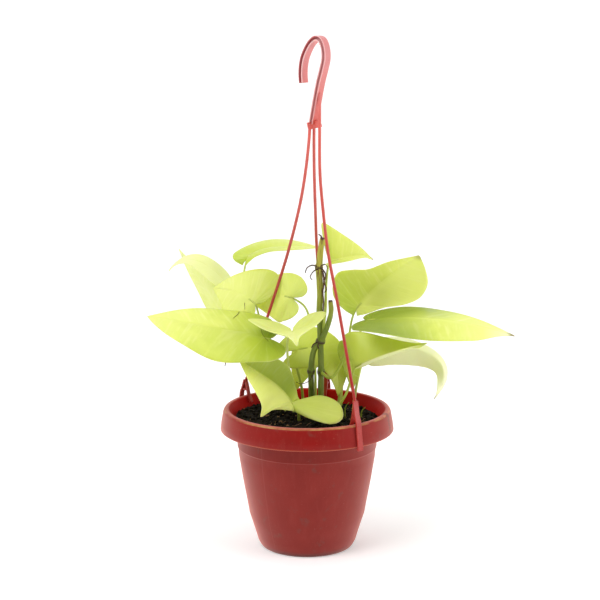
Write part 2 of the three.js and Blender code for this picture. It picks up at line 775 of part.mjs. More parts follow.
    stalk: [[34, 44, 112], [36, 50, 150], [43, 54, 200], [46, 47, 221]],
    tint: 0xc8d549,
  },
  {
    name: "leaf_right_long",
    midrib: [[58, -3, 229], [100, -19, 238], [145, -40, 238], [196, -60, 225]],
    face: [[0, -0.12, 1], [0, -0.12, 1]],
    left: half(46, [1, 0], [-10, 0], 0.6, 0.3),
    right: half(46, [8, -32], [-10, 0], 0.9, 0.3),
    wave: [1, 1.5, 0],
    stalk: [[30, 22, 112], [34, 28, 150], [44, 31, 185], [54, 28, 212], [56, 8, 224]],
    tint: 0xc6d64a,
  },
  {
    name: "leaf_right_folded",
    midrib: [[47, 0, 180], [60, -12, 192], [86, -12, 201], [118, -8, 207]],
    face: [[-0.65, -0.7, 0.3], [0, -0.6, 0.7]],
    left: half(38, [12, 0], [-10, 0], 0.1, 0.1),
    right: half(18, [-102, -112], [0, 0], 0.6, 0.1),
    wave: [1, 1.5, 0],
    stalk: [[28, -14, 112], [31, -13, 142], [39, -11, 158], [44, -4, 172]],
    tint: 0xbfce4c,
  },
  {
    name: "leaf_right_drooping",
    midrib: [[62, 36, 193], [100, 30, 200], [162, 14, 192], [126, 4, 147]],
    face: [[0, -0.3, 0.95], [0.9, -0.4, 0]],
    left: half(20, [0, 0], [-10, 0], 0.6, 0.5),
    right: half(24, [-86, -86], [0, 0], 0.6, 0.5),
    wave: [1, 1.5, 0],
    stalk: [[46, 34, 112], [50, 38, 150], [58, 41, 182]],
    tint: 0xd4e082,
  },
  {
    name: "leaf_right_low",
    midrib: [[41, 25, 197], [44, 24, 189], [47, 23, 169], [45, 21, 151]],
    face: [[0.2, -0.9, 0.3], [0.2, -0.9, 0.2]],
    left: half(13, [5, 5], [-12, 0]),
    right: half(13, [5, 5], [-12, 0]),
    wave: [0.6, 1.5, 0],
    stalk: [[13.8, 3, 175], [22.9, -4, 171], [30, 0, 177], [36, 10, 189]],
    tint: 0xb0c145,
  },
];

// Every mesh of the part, each with the look of its material
const part = new THREE.Group();

function place(name, body, color, roughness) {
  const look = new THREE.MeshStandardMaterial({ color, roughness, metalness: 0, side: THREE.DoubleSide });
  const mesh = new THREE.Mesh(geometryOf(body), look);
  mesh.name = name;
  part.add(mesh);
}

const vineSpace = vineClearance();
const stalkSpace = joined(LEAVES.map((leaf) => {
  leaf.solid = makeLeaf(leaf);
  return stalkClearance(leaf);
}));
place("pot", makePot(), 0xa3302a, 0.42);
place("soil", makeSoil().subtract(vineSpace).subtract(stalkSpace), 0x241f1b, 0.95);
place("hanger", makeHanger(), 0xcb4a44, 0.45);
place("vine", makeVine(), 0xa4b548, 0.6);
for (const leaf of LEAVES) place(leaf.name, leaf.solid.subtract(vineSpace), leaf.tint, 0.5);

export default part;
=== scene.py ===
# %% [markdown]
# # A lime-leaved pothos in a red hanging pot
# A houseplant in the pot that it was sold in: a thin moulded pot, its clip-on hanger, dark potting
# soil, one cut-back vine and sixteen heart-shaped leaves. The CAD frame fixes where each piece is.
# This lesson dresses it: every piece is grown again in mesh code on the same curves, but finer,
# and gets the finish of the real material.

# %% Load the frame
import math
import random

import bpy
import bmesh
import numpy as np
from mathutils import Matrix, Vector, noise


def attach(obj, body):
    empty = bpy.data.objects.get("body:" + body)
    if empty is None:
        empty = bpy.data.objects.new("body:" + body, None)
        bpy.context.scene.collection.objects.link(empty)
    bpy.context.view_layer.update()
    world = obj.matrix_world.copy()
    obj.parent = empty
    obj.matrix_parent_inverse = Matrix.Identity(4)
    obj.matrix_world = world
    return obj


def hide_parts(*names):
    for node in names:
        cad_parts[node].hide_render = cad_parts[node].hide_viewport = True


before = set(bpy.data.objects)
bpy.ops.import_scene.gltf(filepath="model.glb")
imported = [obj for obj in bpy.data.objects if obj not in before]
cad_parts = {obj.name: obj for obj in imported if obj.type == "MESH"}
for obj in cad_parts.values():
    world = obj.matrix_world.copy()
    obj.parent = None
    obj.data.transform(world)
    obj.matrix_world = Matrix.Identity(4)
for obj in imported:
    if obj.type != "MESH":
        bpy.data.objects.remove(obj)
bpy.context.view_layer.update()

MM = 0.001
print("nodes in the frame:", len(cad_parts))

# %% [markdown]
# ## Colours and shader nodes
# Colours are picked as the sRGB hex values that a screen shows, while the renderer works with
# linear light, so one function converts them. Another small one adds any shader node with its
# settings and links, and the main shader's inputs are filled in the same way. So each material reads
# as a short list: masks first, then the colours that are laid over each other where a mask is high.

# %% Colour and node helpers
def colour(hex_value):
    """An sRGB hex colour as linear red, green, blue and alpha."""
    channels = [int(hex_value[i:i + 2], 16) / 255 for i in (1, 3, 5)]
    linear = [c / 12.92 if c <= 0.04045 else ((c + 0.055) / 1.055) ** 2.4 for c in channels]
    return (*linear, 1.0)


def fill(tree, target, inputs):
    """Fills a node's inputs: a node or a socket is linked, and any other value is stored."""
    for socket, value in inputs.items():
        if isinstance(value, bpy.types.Node):
            value = next(output for output in value.outputs if output.enabled)
        if isinstance(value, bpy.types.NodeSocket):
            tree.links.new(value, target.inputs[socket])
        else:
            target.inputs[socket].default_value = value


def node(tree, kind, inputs=None, **settings):
    """Adds a shader node, sets its properties, and fills or links its inputs."""
    made = tree.nodes.new("ShaderNode" + kind)
    for name, value in settings.items():
        setattr(made, name, value)
    fill(tree, made, inputs or {})
    return made


def new_material(name):
    """An empty node material with its tree, its main shader and each point's place in metres."""
    material = bpy.data.materials.new(name)
    material.use_nodes = True
    tree = material.node_tree
    return material, tree, tree.nodes["Principled BSDF"], node(tree, "TexCoord").outputs["Object"]


print("lime as linear light:", [round(c, 3) for c in colour("#D3DE5C")])

# %% [markdown]
# ## Meshes from points
# A stem, a strand or a stalk is a section carried along a smooth path. The path is a centripetal
# Catmull-Rom curve, the same one that the CAD source uses, because it passes through its points
# without loops. The section keeps one axis near a fixed direction, so a flat strip doesn't twist.

# %% Smooth paths
CURVE_SAMPLES = 24


def lengths(points):
    """The way along a row of points up to each of them."""
    return np.concatenate([[0], np.cumsum(np.linalg.norm(np.diff(points, axis=0), axis=1))])


def evenly(points, steps):
    """The same line with evenly spaced points."""
    reach = lengths(points)
    wanted = np.linspace(0, reach[-1], steps + 1)
    return np.column_stack([np.interp(wanted, reach, column) for column in points.T])


def smooth_path(points, steps):
    """Evenly spaced points on a centripetal Catmull-Rom curve through the given points, in mm."""
    given = [np.array(p, float) for p in points]
    first = 2 * given[0] - given[1]
    last = 2 * given[-1] - given[-2]
    padded = [first, *given, last]
    dense = []
    for a, b, c, d in zip(padded, padded[1:], padded[2:], padded[3:]):
        t1 = max(np.linalg.norm(b - a), 1e-6) ** 0.5
        t2 = t1 + max(np.linalg.norm(c - b), 1e-6) ** 0.5
        t3 = t2 + max(np.linalg.norm(d - c), 1e-6) ** 0.5
        for t in np.linspace(t1, t2, CURVE_SAMPLES, endpoint=False):
            ab = a + (b - a) * t / t1
            bc = b + (c - b) * (t - t1) / (t2 - t1)
            cd = c + (d - c) * (t - t2) / (t3 - t2)
            abc = ab + (bc - ab) * t / t2
            bcd = bc + (cd - bc) * (t - t1) / (t3 - t1)
            dense.append(abc + (bcd - abc) * (t - t1) / (t2 - t1))
    dense.append(given[-1])
    return evenly(np.array(dense), steps)


bow = smooth_path([[0, 0, 0], [5, 0, 5], [10, 0, 0]], 12)
print("a test bow of", len(bow), "points is", round(float(lengths(bow)[-1]), 2), "mm long")


# %% Swept sections
def unit(v):
    """A vector's direction, as a vector of length 1."""
    return v / max(np.linalg.norm(v), 1e-9)


def swept(points, section_at, reference):
    """Vertices in mm and faces of a closed sweep. section_at(share) gives the outline's points."""
    verts, faces = [], []
    side = unit(np.array(reference, float))
    count = len(section_at(0))
    last = len(points) - 1
    for i, point in enumerate(points):
        tangent = unit(points[min(i + 1, last)] - points[max(i - 1, 0)])
        side = unit(side - tangent * side.dot(tangent))
        up = np.cross(tangent, side)
        verts += [point + side * a + up * b for a, b in section_at(i / last)]
    for i in range(last):
        for j in range(count):
            k = (j + 1) % count
            faces.append([i * count + j, i * count + k, (i + 1) * count + k, (i + 1) * count + j])
    faces.append(list(range(count))[::-1])
    faces.append([last * count + j for j in range(count)])
    return verts, faces


def ring(radius, sides, wobble=0.0):
    """A round outline; wobble makes it a little three-sided, as a grown stem is."""
    turns = [2 * math.pi * i / sides for i in range(sides)]
    return [(radius * (1 + wobble * math.cos(3 * a)) * math.cos(a),
             radius * (1 + wobble * math.cos(3 * a)) * math.sin(a)) for a in turns]


def tapered(path, start, end, sides, wobble, reference):
    """A closed tube along a path; its radius goes from start to end."""
    return swept(path, lambda share: ring(start + (end - start) * share, sides, wobble), reference)


tube = swept(smooth_path([[0, 0, 0], [0, 0, 9]], 2), lambda share: ring(1, 6), [1, 0, 0])
print("a short test tube has", len(tube[0]), "vertices and", len(tube[1]), "faces")


# %% Pieces
def piece(name, shells, material, replaced, uv_maps=None):
    """Joins shells of vertices in mm and faces into one object that rides on the root body."""
    verts, faces = [], []
    for shell_verts, shell_faces in shells:
        start = len(verts)
        verts += [tuple(float(c) * MM for c in v) for v in shell_verts]
        faces += [[start + k for k in face] for face in shell_faces]
    mesh = bpy.data.meshes.new(name)
    mesh.from_pydata(verts, [], faces)
    mesh.validate()
    mesh.polygons.foreach_set("use_smooth", [True] * len(mesh.polygons))
    mesh.materials.append(material)
    corners = np.array([loop.vertex_index for loop in mesh.loops])
    for map_name, uvs in (uv_maps or {}).items():
        layer = mesh.uv_layers.new(name=map_name)
        layer.data.foreach_set("uv", np.array(uvs, float)[corners].ravel())
    made = bpy.data.objects.new(name, mesh)
    bpy.context.scene.collection.objects.link(made)
    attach(made, "root")
    if replaced:
        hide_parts(replaced)
    return made


def triangles(made):
    """How many triangles an object's mesh has."""
    return sum(len(p.vertices) - 2 for p in made.data.polygons)


# %% [markdown]
# ## Pot plastic
# The pot is injection-moulded polypropylene: a slightly waxy, semi-gloss plastic, IOR about 1.49.
# This one has stood outdoors. Its body is dull with dust and fine scuffs, and the corners of lip and
# skirt are worn pale orange. The lip's top is painted a lighter pink as a painted highlight, the inside
# wall a bright red as painted light shining through it, and the base darker as painted contact shadow.
# The masks come from the height and radius of each point, because wear follows the shape.

# %% Material: weathered polypropylene
def weathered_polypropylene():
    """Dull dusty red plastic; the heights and radii of its masks are in metres."""
    material, tree, shader, place = new_material("weathered red polypropylene")
    split = node(tree, "SeparateXYZ", {0: place})
    height = split.outputs["Z"]
    level = node(tree, "CombineXYZ", {0: split.outputs["X"], 1: split.outputs["Y"]})
    radius = node(tree, "VectorMath", {0: level}, operation="LENGTH")
    angle = node(tree, "Math", {0: split.outputs["Y"], 1: split.outputs["X"]}, operation="ARCTAN2")

    # Dust: patches about 20 mm across, upright streaks, speckles of 1.6 mm and smudges of 9 mm
    patches = node(tree, "TexNoise", {"Vector": place, "Scale": 1 / (20 * MM), "Detail": 5})
    upright = node(tree, "Mapping", {"Vector": place, "Scale": (1, 1, 0.12)})
    streaks = node(tree, "TexNoise", {"Vector": upright, "Scale": 1 / (4 * MM), "Detail": 4,
                                      "Roughness": 0.7})
    speckles = node(tree, "TexNoise", {"Vector": place, "Scale": 1 / (1.6 * MM), "Detail": 3})
    smudges = node(tree, "TexNoise", {"Vector": place, "Scale": 1 / (9 * MM), "Detail": 6})
    patched = node(tree, "MapRange", {0: patches, 1: 0.35, 2: 0.7, 4: 0.45})
    streaked = node(tree, "MapRange", {0: streaks, 1: 0.5, 2: 0.75, 4: 0.16})
    speckled = node(tree, "MapRange", {0: speckles, 1: 0.66, 2: 0.76, 4: 0.3})
    smudged = node(tree, "MapRange", {0: smudges, 1: 0.62, 2: 0.72, 4: 0.4})

    # The inside wall above the soil is painted a bright, saturated red: painted light that shines through the
    # thin wall
    inward = node(tree, "MapRange", {0: radius, 1: 0.0795, 2: 0.0775})
    above_soil = node(tree, "Math", {0: height, 1: 0.1215}, operation="GREATER_THAN")
    inside = node(tree, "Math", {0: inward, 1: above_soil}, operation="MULTIPLY")

    # The lip's top is painted a lighter pink, a painted highlight where it faces up; wear: its outer corner
    # has a thin broken tan line, the hem is rubbed
    lip_top_highlight = node(tree, "MapRange", {0: height, 1: 0.139, 2: 0.1398, 4: 0.55})
    corner = node(tree, "Math", {0: radius, 1: 0.0818, 2: 0.0007}, operation="COMPARE")
    high = node(tree, "Math", {0: height, 1: 0.1385}, operation="GREATER_THAN")
    lip_corner = node(tree, "Math", {0: corner, 1: high}, operation="MULTIPLY")
    ragged = node(tree, "MapRange", {0: patches, 1: 0.42, 2: 0.6, 4: 0.7})
    lip_line = node(tree, "Math", {0: lip_corner, 1: ragged}, operation="MULTIPLY")
    low_edge = node(tree, "MapRange", {0: height, 1: 0.1204, 2: 0.1192, 4: 0.5})
    outside = node(tree, "Math", {0: radius, 1: 0.0835}, operation="GREATER_THAN")
    hem = node(tree, "Math", {0: low_edge, 1: outside}, operation="MULTIPLY")

    # The mould's parting line, a dark crack in the skirt's right side, and painted contact shadow that
    # darkens the base where the pot stands
    at_line = node(tree, "Math", {0: angle, 1: -2.265, 2: 0.006}, operation="COMPARE")
    below_skirt = node(tree, "MapRange", {0: height, 1: 0.12, 2: 0.115, 4: 0.16})
    parting_line = node(tree, "Math", {0: at_line, 1: below_skirt}, operation="MULTIPLY")
    wander = node(tree, "Math", {0: speckles, 1: 0.2, 2: angle}, operation="MULTIPLY_ADD")
    at_crack = node(tree, "Math", {0: wander, 1: -0.22, 2: 0.03}, operation="COMPARE")
    on_skirt = node(tree, "Math", {0: height, 1: 0.122}, operation="GREATER_THAN")
    crack = node(tree, "Math", {0: at_crack, 1: on_skirt}, operation="MULTIPLY")
    painted_foot_shadow = node(tree, "MapRange", {0: height, 1: 0.0065, 2: 0.001, 4: 0.85})

    # A dull red body, the brighter lip band above it, and all of the above over both
    band = node(tree, "MapRange", {0: height, 1: 0.113, 2: 0.121})
    skin = colour("#85241D")
    for mask, hue in (
        (band, "#8C0A05"), (patched, "#741610"), (streaked, "#A04A42"), (speckled, "#B06A5E"),
        (smudged, "#6A423A"), (inside, "#BE0D0B"), (lip_top_highlight, "#C25A50"), (lip_line, "#C79A5E"),
        (hem, "#D0683E"), (parting_line, "#B8645C"), (crack, "#4A1A16"), (painted_foot_shadow, "#3A2A26"),
    ):
        skin = node(tree, "Mix", {0: mask, 6: skin, 7: colour(hue)}, data_type="RGBA")

    # Rougher where it is dusty; scuffs as bump, 0.05 mm deep; dust outside gives a soft pale sheen
    fill(tree, shader, {
        "Base Color": skin,
        "Roughness": node(tree, "MapRange", {0: streaks, 1: 0.3, 2: 0.8, 3: 0.34, 4: 0.58}),
        "Normal": node(tree, "Bump", {"Strength": 0.35, "Distance": 0.05 * MM, "Height": streaks}),
        "IOR": 1.49, "Specular IOR Level": 0.12,
        "Sheen Weight": node(tree, "MapRange", {0: inside, 3: 1, 4: 0.1}),
        "Sheen Roughness": 0.45, "Sheen Tint": colour("#FFB4AA"),
    })
    return material


pot_plastic = weathered_polypropylene()
print("material:", pot_plastic.name)

# %% [markdown]
# ## The pot
# One wall is turned out at the lip and down again as a skirt, which stiffens it. A body of
# revolution is the natural way: the profile is spun about the axis in 144 steps, and its corners get
# small extra points, so that light rolls over them as on moulded plastic. Four drain holes go through
# the base with a boolean, because a spun profile can't have them.

# %% The pot's profile
OUTSIDE = [
    (44, 0), (45.9, 0.5), (46.9, 1.8), (49.2, 6), (51.1, 12.6), (54.3, 23),
    (57.8, 34), (60.6, 50), (64.3, 70), (67.9, 93), (68.4, 101), (68.7, 101.6),
    (69.2, 101.9), (69.3, 102.6), (69.3, 117), (79, 136.6), (80.8, 137.8), (84.3, 119.4),
    (84.6, 119), (85.6, 119), (86, 119.5), (85.2, 126), (83.3, 136.6), (82.8, 138),
    (82, 139.3), (81.2, 139.85), (80.4, 140), (78.4, 140), (77.6, 139.7), (77.2, 138.9),
]
INSIDE = [
    (67.5, 117), (67.5, 102), (62.5, 70), (58.8, 50), (56, 34), (49.5, 12.6), (45, 4), (44, 2.8), (42, 2),
]
SPIN_STEPS = 144
DRAIN_HOLES, DRAIN_CIRCLE, DRAIN_RADIUS, DRAIN_SIDES = 4, 26, 4, 32


def lathe(profile, steps):
    """A closed body of revolution from radius and height pairs that start and end on the axis."""
    rim = profile[1:-1]
    verts = [(0, 0, profile[0][1])]
    faces = []
    for i in range(steps):
        turn = 2 * math.pi * i / steps
        verts += [(r * math.cos(turn), r * math.sin(turn), z) for r, z in rim]
    verts.append((0, 0, profile[-1][1]))
    count = len(rim)
    for i in range(steps):
        a, b = 1 + i * count, 1 + ((i + 1) % steps) * count
        faces.append([0, b, a])
        faces += [[a + k, b + k, b + k + 1, a + k + 1] for k in range(count - 1)]
        faces.append([len(verts) - 1, a + count - 1, b + count - 1])
    return verts, faces


print("profile points outside and inside:", len(OUTSIDE), len(INSIDE))


# %% Spin the pot and drill its base
pot = piece("pot_wall", [lathe([(0, 0), *OUTSIDE, *INSIDE, (0, 2)], SPIN_STEPS)], pot_plastic, "pot")
drill_shells = []
for i in range(DRAIN_HOLES):
    turn = (i + 0.5) * 2 * math.pi / DRAIN_HOLES
    middle = DRAIN_CIRCLE * np.array([math.cos(turn), math.sin(turn), 0])
    rod = np.array([middle + [0, 0, -3], middle + [0, 0, 5]])
    drill_shells.append(tapered(rod, DRAIN_RADIUS, DRAIN_RADIUS, DRAIN_SIDES, 0, [1, 0, 0]))
drill = piece("drill", drill_shells, pot_plastic, None)
cut = pot.modifiers.new("drains", "BOOLEAN")
cut.object = drill
cut.solver = "EXACT"
bpy.context.view_layer.objects.active = pot
bpy.context.view_layer.update()
drilled = bpy.data.meshes.new_from_object(pot.evaluated_get(bpy.context.evaluated_depsgraph_get()))
pot.modifiers.clear()
pot.data = drilled
bpy.data.objects.remove(drill)
print("pot triangles:", triangles(pot))

# %% [markdown]
# ## Leaf skin
# A pothos leaf is a soft sheet with a waxy cuticle: smooth gloss over a lit-through green. This kind
# has little dark pigment, so it is lime. It is painted deeper at the stalk and paler at the tip and
# margin, partly its own colour, partly painted shade at the stalk and painted light shining through
# the thin tip and margin. Side veins leave the midrib and bend to the tip. The mesh's rows follow those
# veins, so its UV map, (share along the margin, place across), draws them at their true courses, and
# pale streaks along them are painted highlights on the bulges between veins. Leaves of one plant
# differ in tone; a second UV map carries each half's tone, partly its own and partly painted light and
# shade where a half lies in the shade of others or faces the light, and how dry the tip is. Light
# passes through, so the shader gets subsurface scattering of a few millimetres.

# %% Material: waxy leaf
VEINS = 9


def waxy_leaf(name, green, deep, main, pale):
    """Leaf skin from four colours: the darkest, for low tone and painted shade, then from the stalk to the
    tip.
    """
    material, tree, shader, place = new_material(name)
    uv = node(tree, "UVMap", uv_map="leaf")
    split = node(tree, "SeparateXYZ", {0: uv})
    along = split.outputs["X"]
    centred = node(tree, "Math", {0: split.outputs["Y"], 1: 2, 2: -1}, operation="MULTIPLY_ADD")
    across = node(tree, "Math", {0: centred}, operation="ABSOLUTE")
    tone_and_shade_map = node(tree, "SeparateXYZ", {0: node(tree, "UVMap", uv_map="tone")})

    # Side veins: lines of equal share along the margin, blurred a little by noise
    blur = node(tree, "TexNoise", {"Vector": place, "Scale": 1 / (12 * MM), "Detail": 3})
    shifted = node(tree, "Math", {0: blur, 1: 0.03, 2: along}, operation="MULTIPLY_ADD")
    spaced = node(tree, "Math", {0: shifted, 1: 0.5 / VEINS}, operation="PINGPONG")
    vein = node(tree, "MapRange", {0: spaced, 1: 0.05 / VEINS, 2: 0})
    faint_vein = node(tree, "Math", {0: vein, 1: 0.13}, operation="MULTIPLY")
    fine_spaced = node(tree, "Math", {0: shifted, 1: 0.11 / VEINS}, operation="PINGPONG")
    fine_vein = node(tree, "MapRange", {0: fine_spaced, 1: 0.04 / VEINS, 2: 0})
    midrib = node(tree, "MapRange", {0: across, 1: 0.06, 2: 0.015, 4: 0.15})

    # Deep at the stalk, main in the middle, pale towards tip and margin, with soft mottling: partly the
    # leaf's own colour, partly painted shade at the stalk and painted light shining through the thin tip and
    # margin
    mottle = node(tree, "TexNoise", {"Vector": place, "Scale": 1 / (28 * MM), "Detail": 4})
    from_stalk = node(tree, "Math", {0: mottle, 1: 0.5, 2: along}, operation="MULTIPLY_ADD")
    middle = node(tree, "MapRange", {0: from_stalk, 1: 0.3, 2: 0.95})
    tip = node(tree, "MapRange", {0: from_stalk, 1: 0.8, 2: 1.35, 4: 0.8})
    margin = node(tree, "MapRange", {0: across, 1: 0.975, 2: 1, 4: 0.35})

    # Soft pale streaks along the side veins, stronger towards the tip: painted highlights where the blade
    # bulges between the veins
    veinwise = node(tree, "Mapping", {"Vector": uv, "Scale": (46, 2.6, 1)})
    streaks = node(tree, "TexNoise", {"Vector": veinwise, "Scale": 1, "Detail": 3})
    vein_streak_highlight = node(tree, "MapRange", {0: streaks, 1: 0.5, 2: 0.68, 4: 0.32})
    tipward = node(tree, "MapRange", {0: along, 1: 0.35, 2: 0.8, 3: 0.25})
    streaked = node(tree, "Math", {0: vein_streak_highlight, 1: tipward}, operation="MULTIPLY")

    # Each half's tone from the second UV map, partly the leaf's own and partly painted: painted shade below
    # 0, painted light above it; -1 deep green, 0 as above, 1 pale, 2 nearly white
    tone = node(tree, "Math", {0: mottle, 1: 0.3, 2: tone_and_shade_map.outputs["X"]}, operation="MULTIPLY_ADD")
    deeper_tone_and_shade = node(tree, "MapRange", {0: tone, 1: 0.15, 2: -0.85})
    paler_tone_and_light = node(tree, "MapRange", {0: tone, 1: 0.15, 2: 1.15})
    whiter_tone_and_light = node(tree, "MapRange", {0: tone, 1: 1.15, 2: 2.15})
    skin = colour(deep)
    for mask, hue in (
        (middle, main), (tip, pale), (faint_vein, pale), (midrib, pale), (streaked, "#F1F4B4"),
        (deeper_tone_and_shade, green), (paler_tone_and_light, pale), (whiter_tone_and_light, "#F6F9CC"), (margin, "#E9F0A0"),
        (tone_and_shade_map.outputs["Y"], "#6E4A22"),
    ):
        skin = node(tree, "Mix", {0: mask, 6: skin, 7: colour(hue)}, data_type="RGBA")

    # Relief: side veins sunk 0.25 mm, the fine ones less, and a skin grain of 0.8 mm
    sunk = node(tree, "Math", {0: fine_vein, 1: 0.25, 2: vein}, operation="MULTIPLY_ADD")
    grain = node(tree, "TexNoise", {"Vector": place, "Scale": 1 / (0.8 * MM), "Detail": 2})
    depth = node(tree, "Math", {0: grain, 1: 0.12, 2: sunk}, operation="MULTIPLY_ADD")
    fill(tree, shader, {
        "Base Color": skin,
        "Roughness": node(tree, "MapRange", {0: mottle, 1: 0.3, 2: 0.7, 3: 0.36, 4: 0.5}),
        "Normal": node(tree, "Bump", {"Strength": 0.3, "Distance": 0.25 * MM, "Height": depth}, invert=True),
        "IOR": 1.42, "Subsurface Weight": 0.35, "Subsurface Radius": (0.8, 1.0, 0.15),
        "Subsurface Scale": 2.5 * MM,
    })
    return material


# Three copies of one leaf skin at different brightness: the deep one is painted shade for leaves that lie
# under others, the pale one partly paler leaves and partly painted light
leaf_skins = {
    "leaf_lime": waxy_leaf("waxy lime leaf", "#86982A", "#AABB3C", "#CBD755", "#E7EF88"),
    "leaf_pale": waxy_leaf("waxy pale lime leaf with painted light", "#BCCB4C", "#C6D35C", "#D9E376", "#ECF2AE"),
    "leaf_shaded": waxy_leaf("waxy lime leaf in painted shade", "#7A8C26", "#98AA34", "#B2C242", "#CCD858"),
}
print("leaf skins:", ", ".join(m.name for m in leaf_skins.values()))

# %% [markdown]
# ## How a leaf is grown
# A plain leaf is a few facts: the midrib, a curve in space; where its upper side looks at base and
# tip; and for each half a width, a lift out of the flat, a curl, a fullness and a lobe. A heart-shaped
# half outline is laid along the midrib, and every point is placed by its share along and across. A
# leaf bent in a way that no such numbers give has its margin drawn in space instead, and the blade is
# stretched from the midrib to it. Both ways repeat the CAD solids' surfaces, but five times finer.

# %% The half outline
def cubic(points, t):
    """A cubic Bezier curve at shares t, and its direction there."""
    a, b, c, d = (np.array(p, float) for p in points)
    t = np.asarray(t, float)[..., None]
    place = (1 - t) ** 3 * a + 3 * (1 - t) ** 2 * t * b + 3 * (1 - t) * t ** 2 * c + t ** 3 * d
    way = 3 * (1 - t) ** 2 * (b - a) + 6 * (1 - t) * t * (c - b) + 3 * t ** 2 * (d - c)
    return place, way


def half_outline(fullness, rows):
    """Evenly spaced points from the notch round the back lobe and on to the drawn-out tip."""
    t = np.linspace(0, 1, 200)
    lobe = cubic([(-0.05, 0.08), (-0.16, 0.1), (-0.26, 0.5), (0, 0.9)], t)[0]
    blade = cubic([(0, 0.9), (0.2, 1.13), (0.62, fullness), (1, 0.012)], t)[0]
    return evenly(np.vstack([lobe, blade[1:]]), rows)


print("the heart's widest point:", half_outline(0.6, 100).max(axis=0).round(2))


# %% The blade's surface
FLAT_TIP_START = 0.78
FINE_STEPS = 400


class Midrib:
    """A Bezier curve measured by its own length."""

    def __init__(self, points):
        self.points = points
        self.t = np.linspace(0, 1, FINE_STEPS)
        self.reach = lengths(cubic(points, self.t)[0])
        self.length = self.reach[-1]

    def at(self, share):
        """Points at shares of the length, and the curve's directions there."""
        t = np.interp(share * self.length, self.reach, self.t)
        place, way = cubic(self.points, t)
        return place, way / np.linalg.norm(way, axis=-1, keepdims=True)


def facing(leaf, share):
    """Where the upper side looks at each share along the midrib, as unit vectors."""
    share = np.asarray(share, float)[..., None]
    face = np.array(leaf["face"][0]) * (1 - share) + np.array(leaf["face"][1]) * share
    return face / np.linalg.norm(face, axis=-1, keepdims=True)


def blade_point(leaf, along, across, side):
    """Points of the blade's middle surface in mm, for arrays of shares along and across."""
    share = np.clip(along, 0, 1)
    width, lift, curl = leaf["left" if side > 0 else "right"][:3]
    centre, tangent = leaf["rib"].at(share)
    centre = centre + tangent * ((along - share) * leaf["rib"].length)[..., None]
    face = facing(leaf, share)
    normal = face - tangent * (face * tangent).sum(-1, keepdims=True)
    normal /= np.linalg.norm(normal, axis=-1, keepdims=True)
    outward = np.cross(normal, tangent) * side
    flat = np.clip((share - FLAT_TIP_START) / (1 - FLAT_TIP_START), 0, 1)
    opened = 1 - flat ** 2 * (3 - 2 * flat)
    lifted = np.radians(lift[0] + (lift[1] - lift[0]) * share) * opened
    curled = np.radians(curl[0] + (curl[1] - curl[0]) * share)
    curled = np.where(np.abs(curled) < 1e-6, 1e-6, curled)
    radius = width / curled
    out = radius * (np.sin(lifted + curled * across) - np.sin(lifted))
    up = radius * (np.cos(lifted) - np.cos(lifted + curled * across))
    size, waves, phase = leaf["wave"]
    up = up + size * across ** 2 * np.sin(2 * math.pi * waves * along + phase)
    return centre + outward * out[..., None] + normal * up[..., None]


print("a straight test midrib, mm:", round(Midrib([[0, 0, 0], [10, 0, 0], [20, 0, 0], [30, 0, 0]]).length, 2))


# %% One half of a blade as a grid
ROWS = 54
COLUMNS = 14
QUILT, MIDRIB_GROOVE = 0.4, 0.45
VEIN_START = 0.22
MIDRIB_STEP = 0.12
LOBE_SHARE = 0.4


def plain_half(leaf, half, side, share, reach):
    """A half laid out from its numbers; rows follow the side veins."""
    outline = half_outline(half[3], ROWS)
    root = np.maximum(MIDRIB_STEP * share, (outline[:, 0] - VEIN_START) / (1 - VEIN_START))
    back = np.where(outline[:, 0] < 0, outline[:, 0] * half[4], outline[:, 0])
    along = root[:, None] * (1 - reach) + back[:, None] * reach
    return blade_point(leaf, along, outline[:, 1][:, None] * reach, side)


def traced_half(leaf, half, share, reach):
    """A half stretched from the midrib to its drawn margin; the lobe takes the first rows."""
    past = (share - LOBE_SHARE) / (1 - LOBE_SHARE)
    climb = np.maximum(MIDRIB_STEP * share, past)
    lobe_end = half["lobe_end"]
    turn = np.where(past < 0, lobe_end * share / LOBE_SHARE, lobe_end + (1 - lobe_end) * past)
    margin = smooth_path(half["margin"], FINE_STEPS)
    places = np.linspace(0, 1, len(margin))
    edge = np.column_stack([np.interp(turn, places, margin[:, k]) for k in range(3)])
    root = leaf["rib"].at(climb)[0]
    face = facing(leaf, climb)
    height = half["swell"] * np.linalg.norm(edge - root, axis=1)[:, None] * np.sin(math.pi * reach)
    line = root[:, None] + (edge - root)[:, None] * reach[None, :, None]
    return line + face[:, None] * height[..., None]


def half_grid(leaf, side):
    """Middle surface, upward normals and UV of one half."""
    half = leaf["left" if side > 0 else "right"]
    share = np.linspace(0, 1, ROWS + 1)
    reach = np.linspace(0, 1, COLUMNS + 1)
    drawn = isinstance(half, dict)
    middle = traced_half(leaf, half, share, reach) if drawn else plain_half(leaf, half, side, share, reach)
    onward = np.gradient(middle, axis=0)
    outward = np.gradient(middle, axis=1)
    normal = np.cross(onward, outward) * side
    normal /= np.maximum(np.linalg.norm(normal, axis=-1, keepdims=True), 1e-9)
    uv = np.stack(np.broadcast_arrays(share[:, None], 0.5 + 0.5 * side * reach), axis=-1)
    return middle, normal, uv


def relief(share, reach):
    """The quilting between side veins, and the groove over the midrib, in mm."""
    quilt = QUILT * np.abs(np.sin(math.pi * VEINS * share)) * np.sin(math.pi * reach) * (1 - share)
    groove = -MIDRIB_GROOVE * np.exp(-(reach / 0.05) ** 2)
    return quilt + groove


print("points in a half blade:", (ROWS + 1) * (COLUMNS + 1))


# %% Close the blade
BLADE_THICK, MARGIN_THIN = 0.55, 0.45
TONE_PLACES = (0.36, 0.5, 1)
DRY_FROM, DRY_FADE = 0.955, 0.03
SOFT_LUMP, SOFT_LUMP_WIDE = 0.5, 17


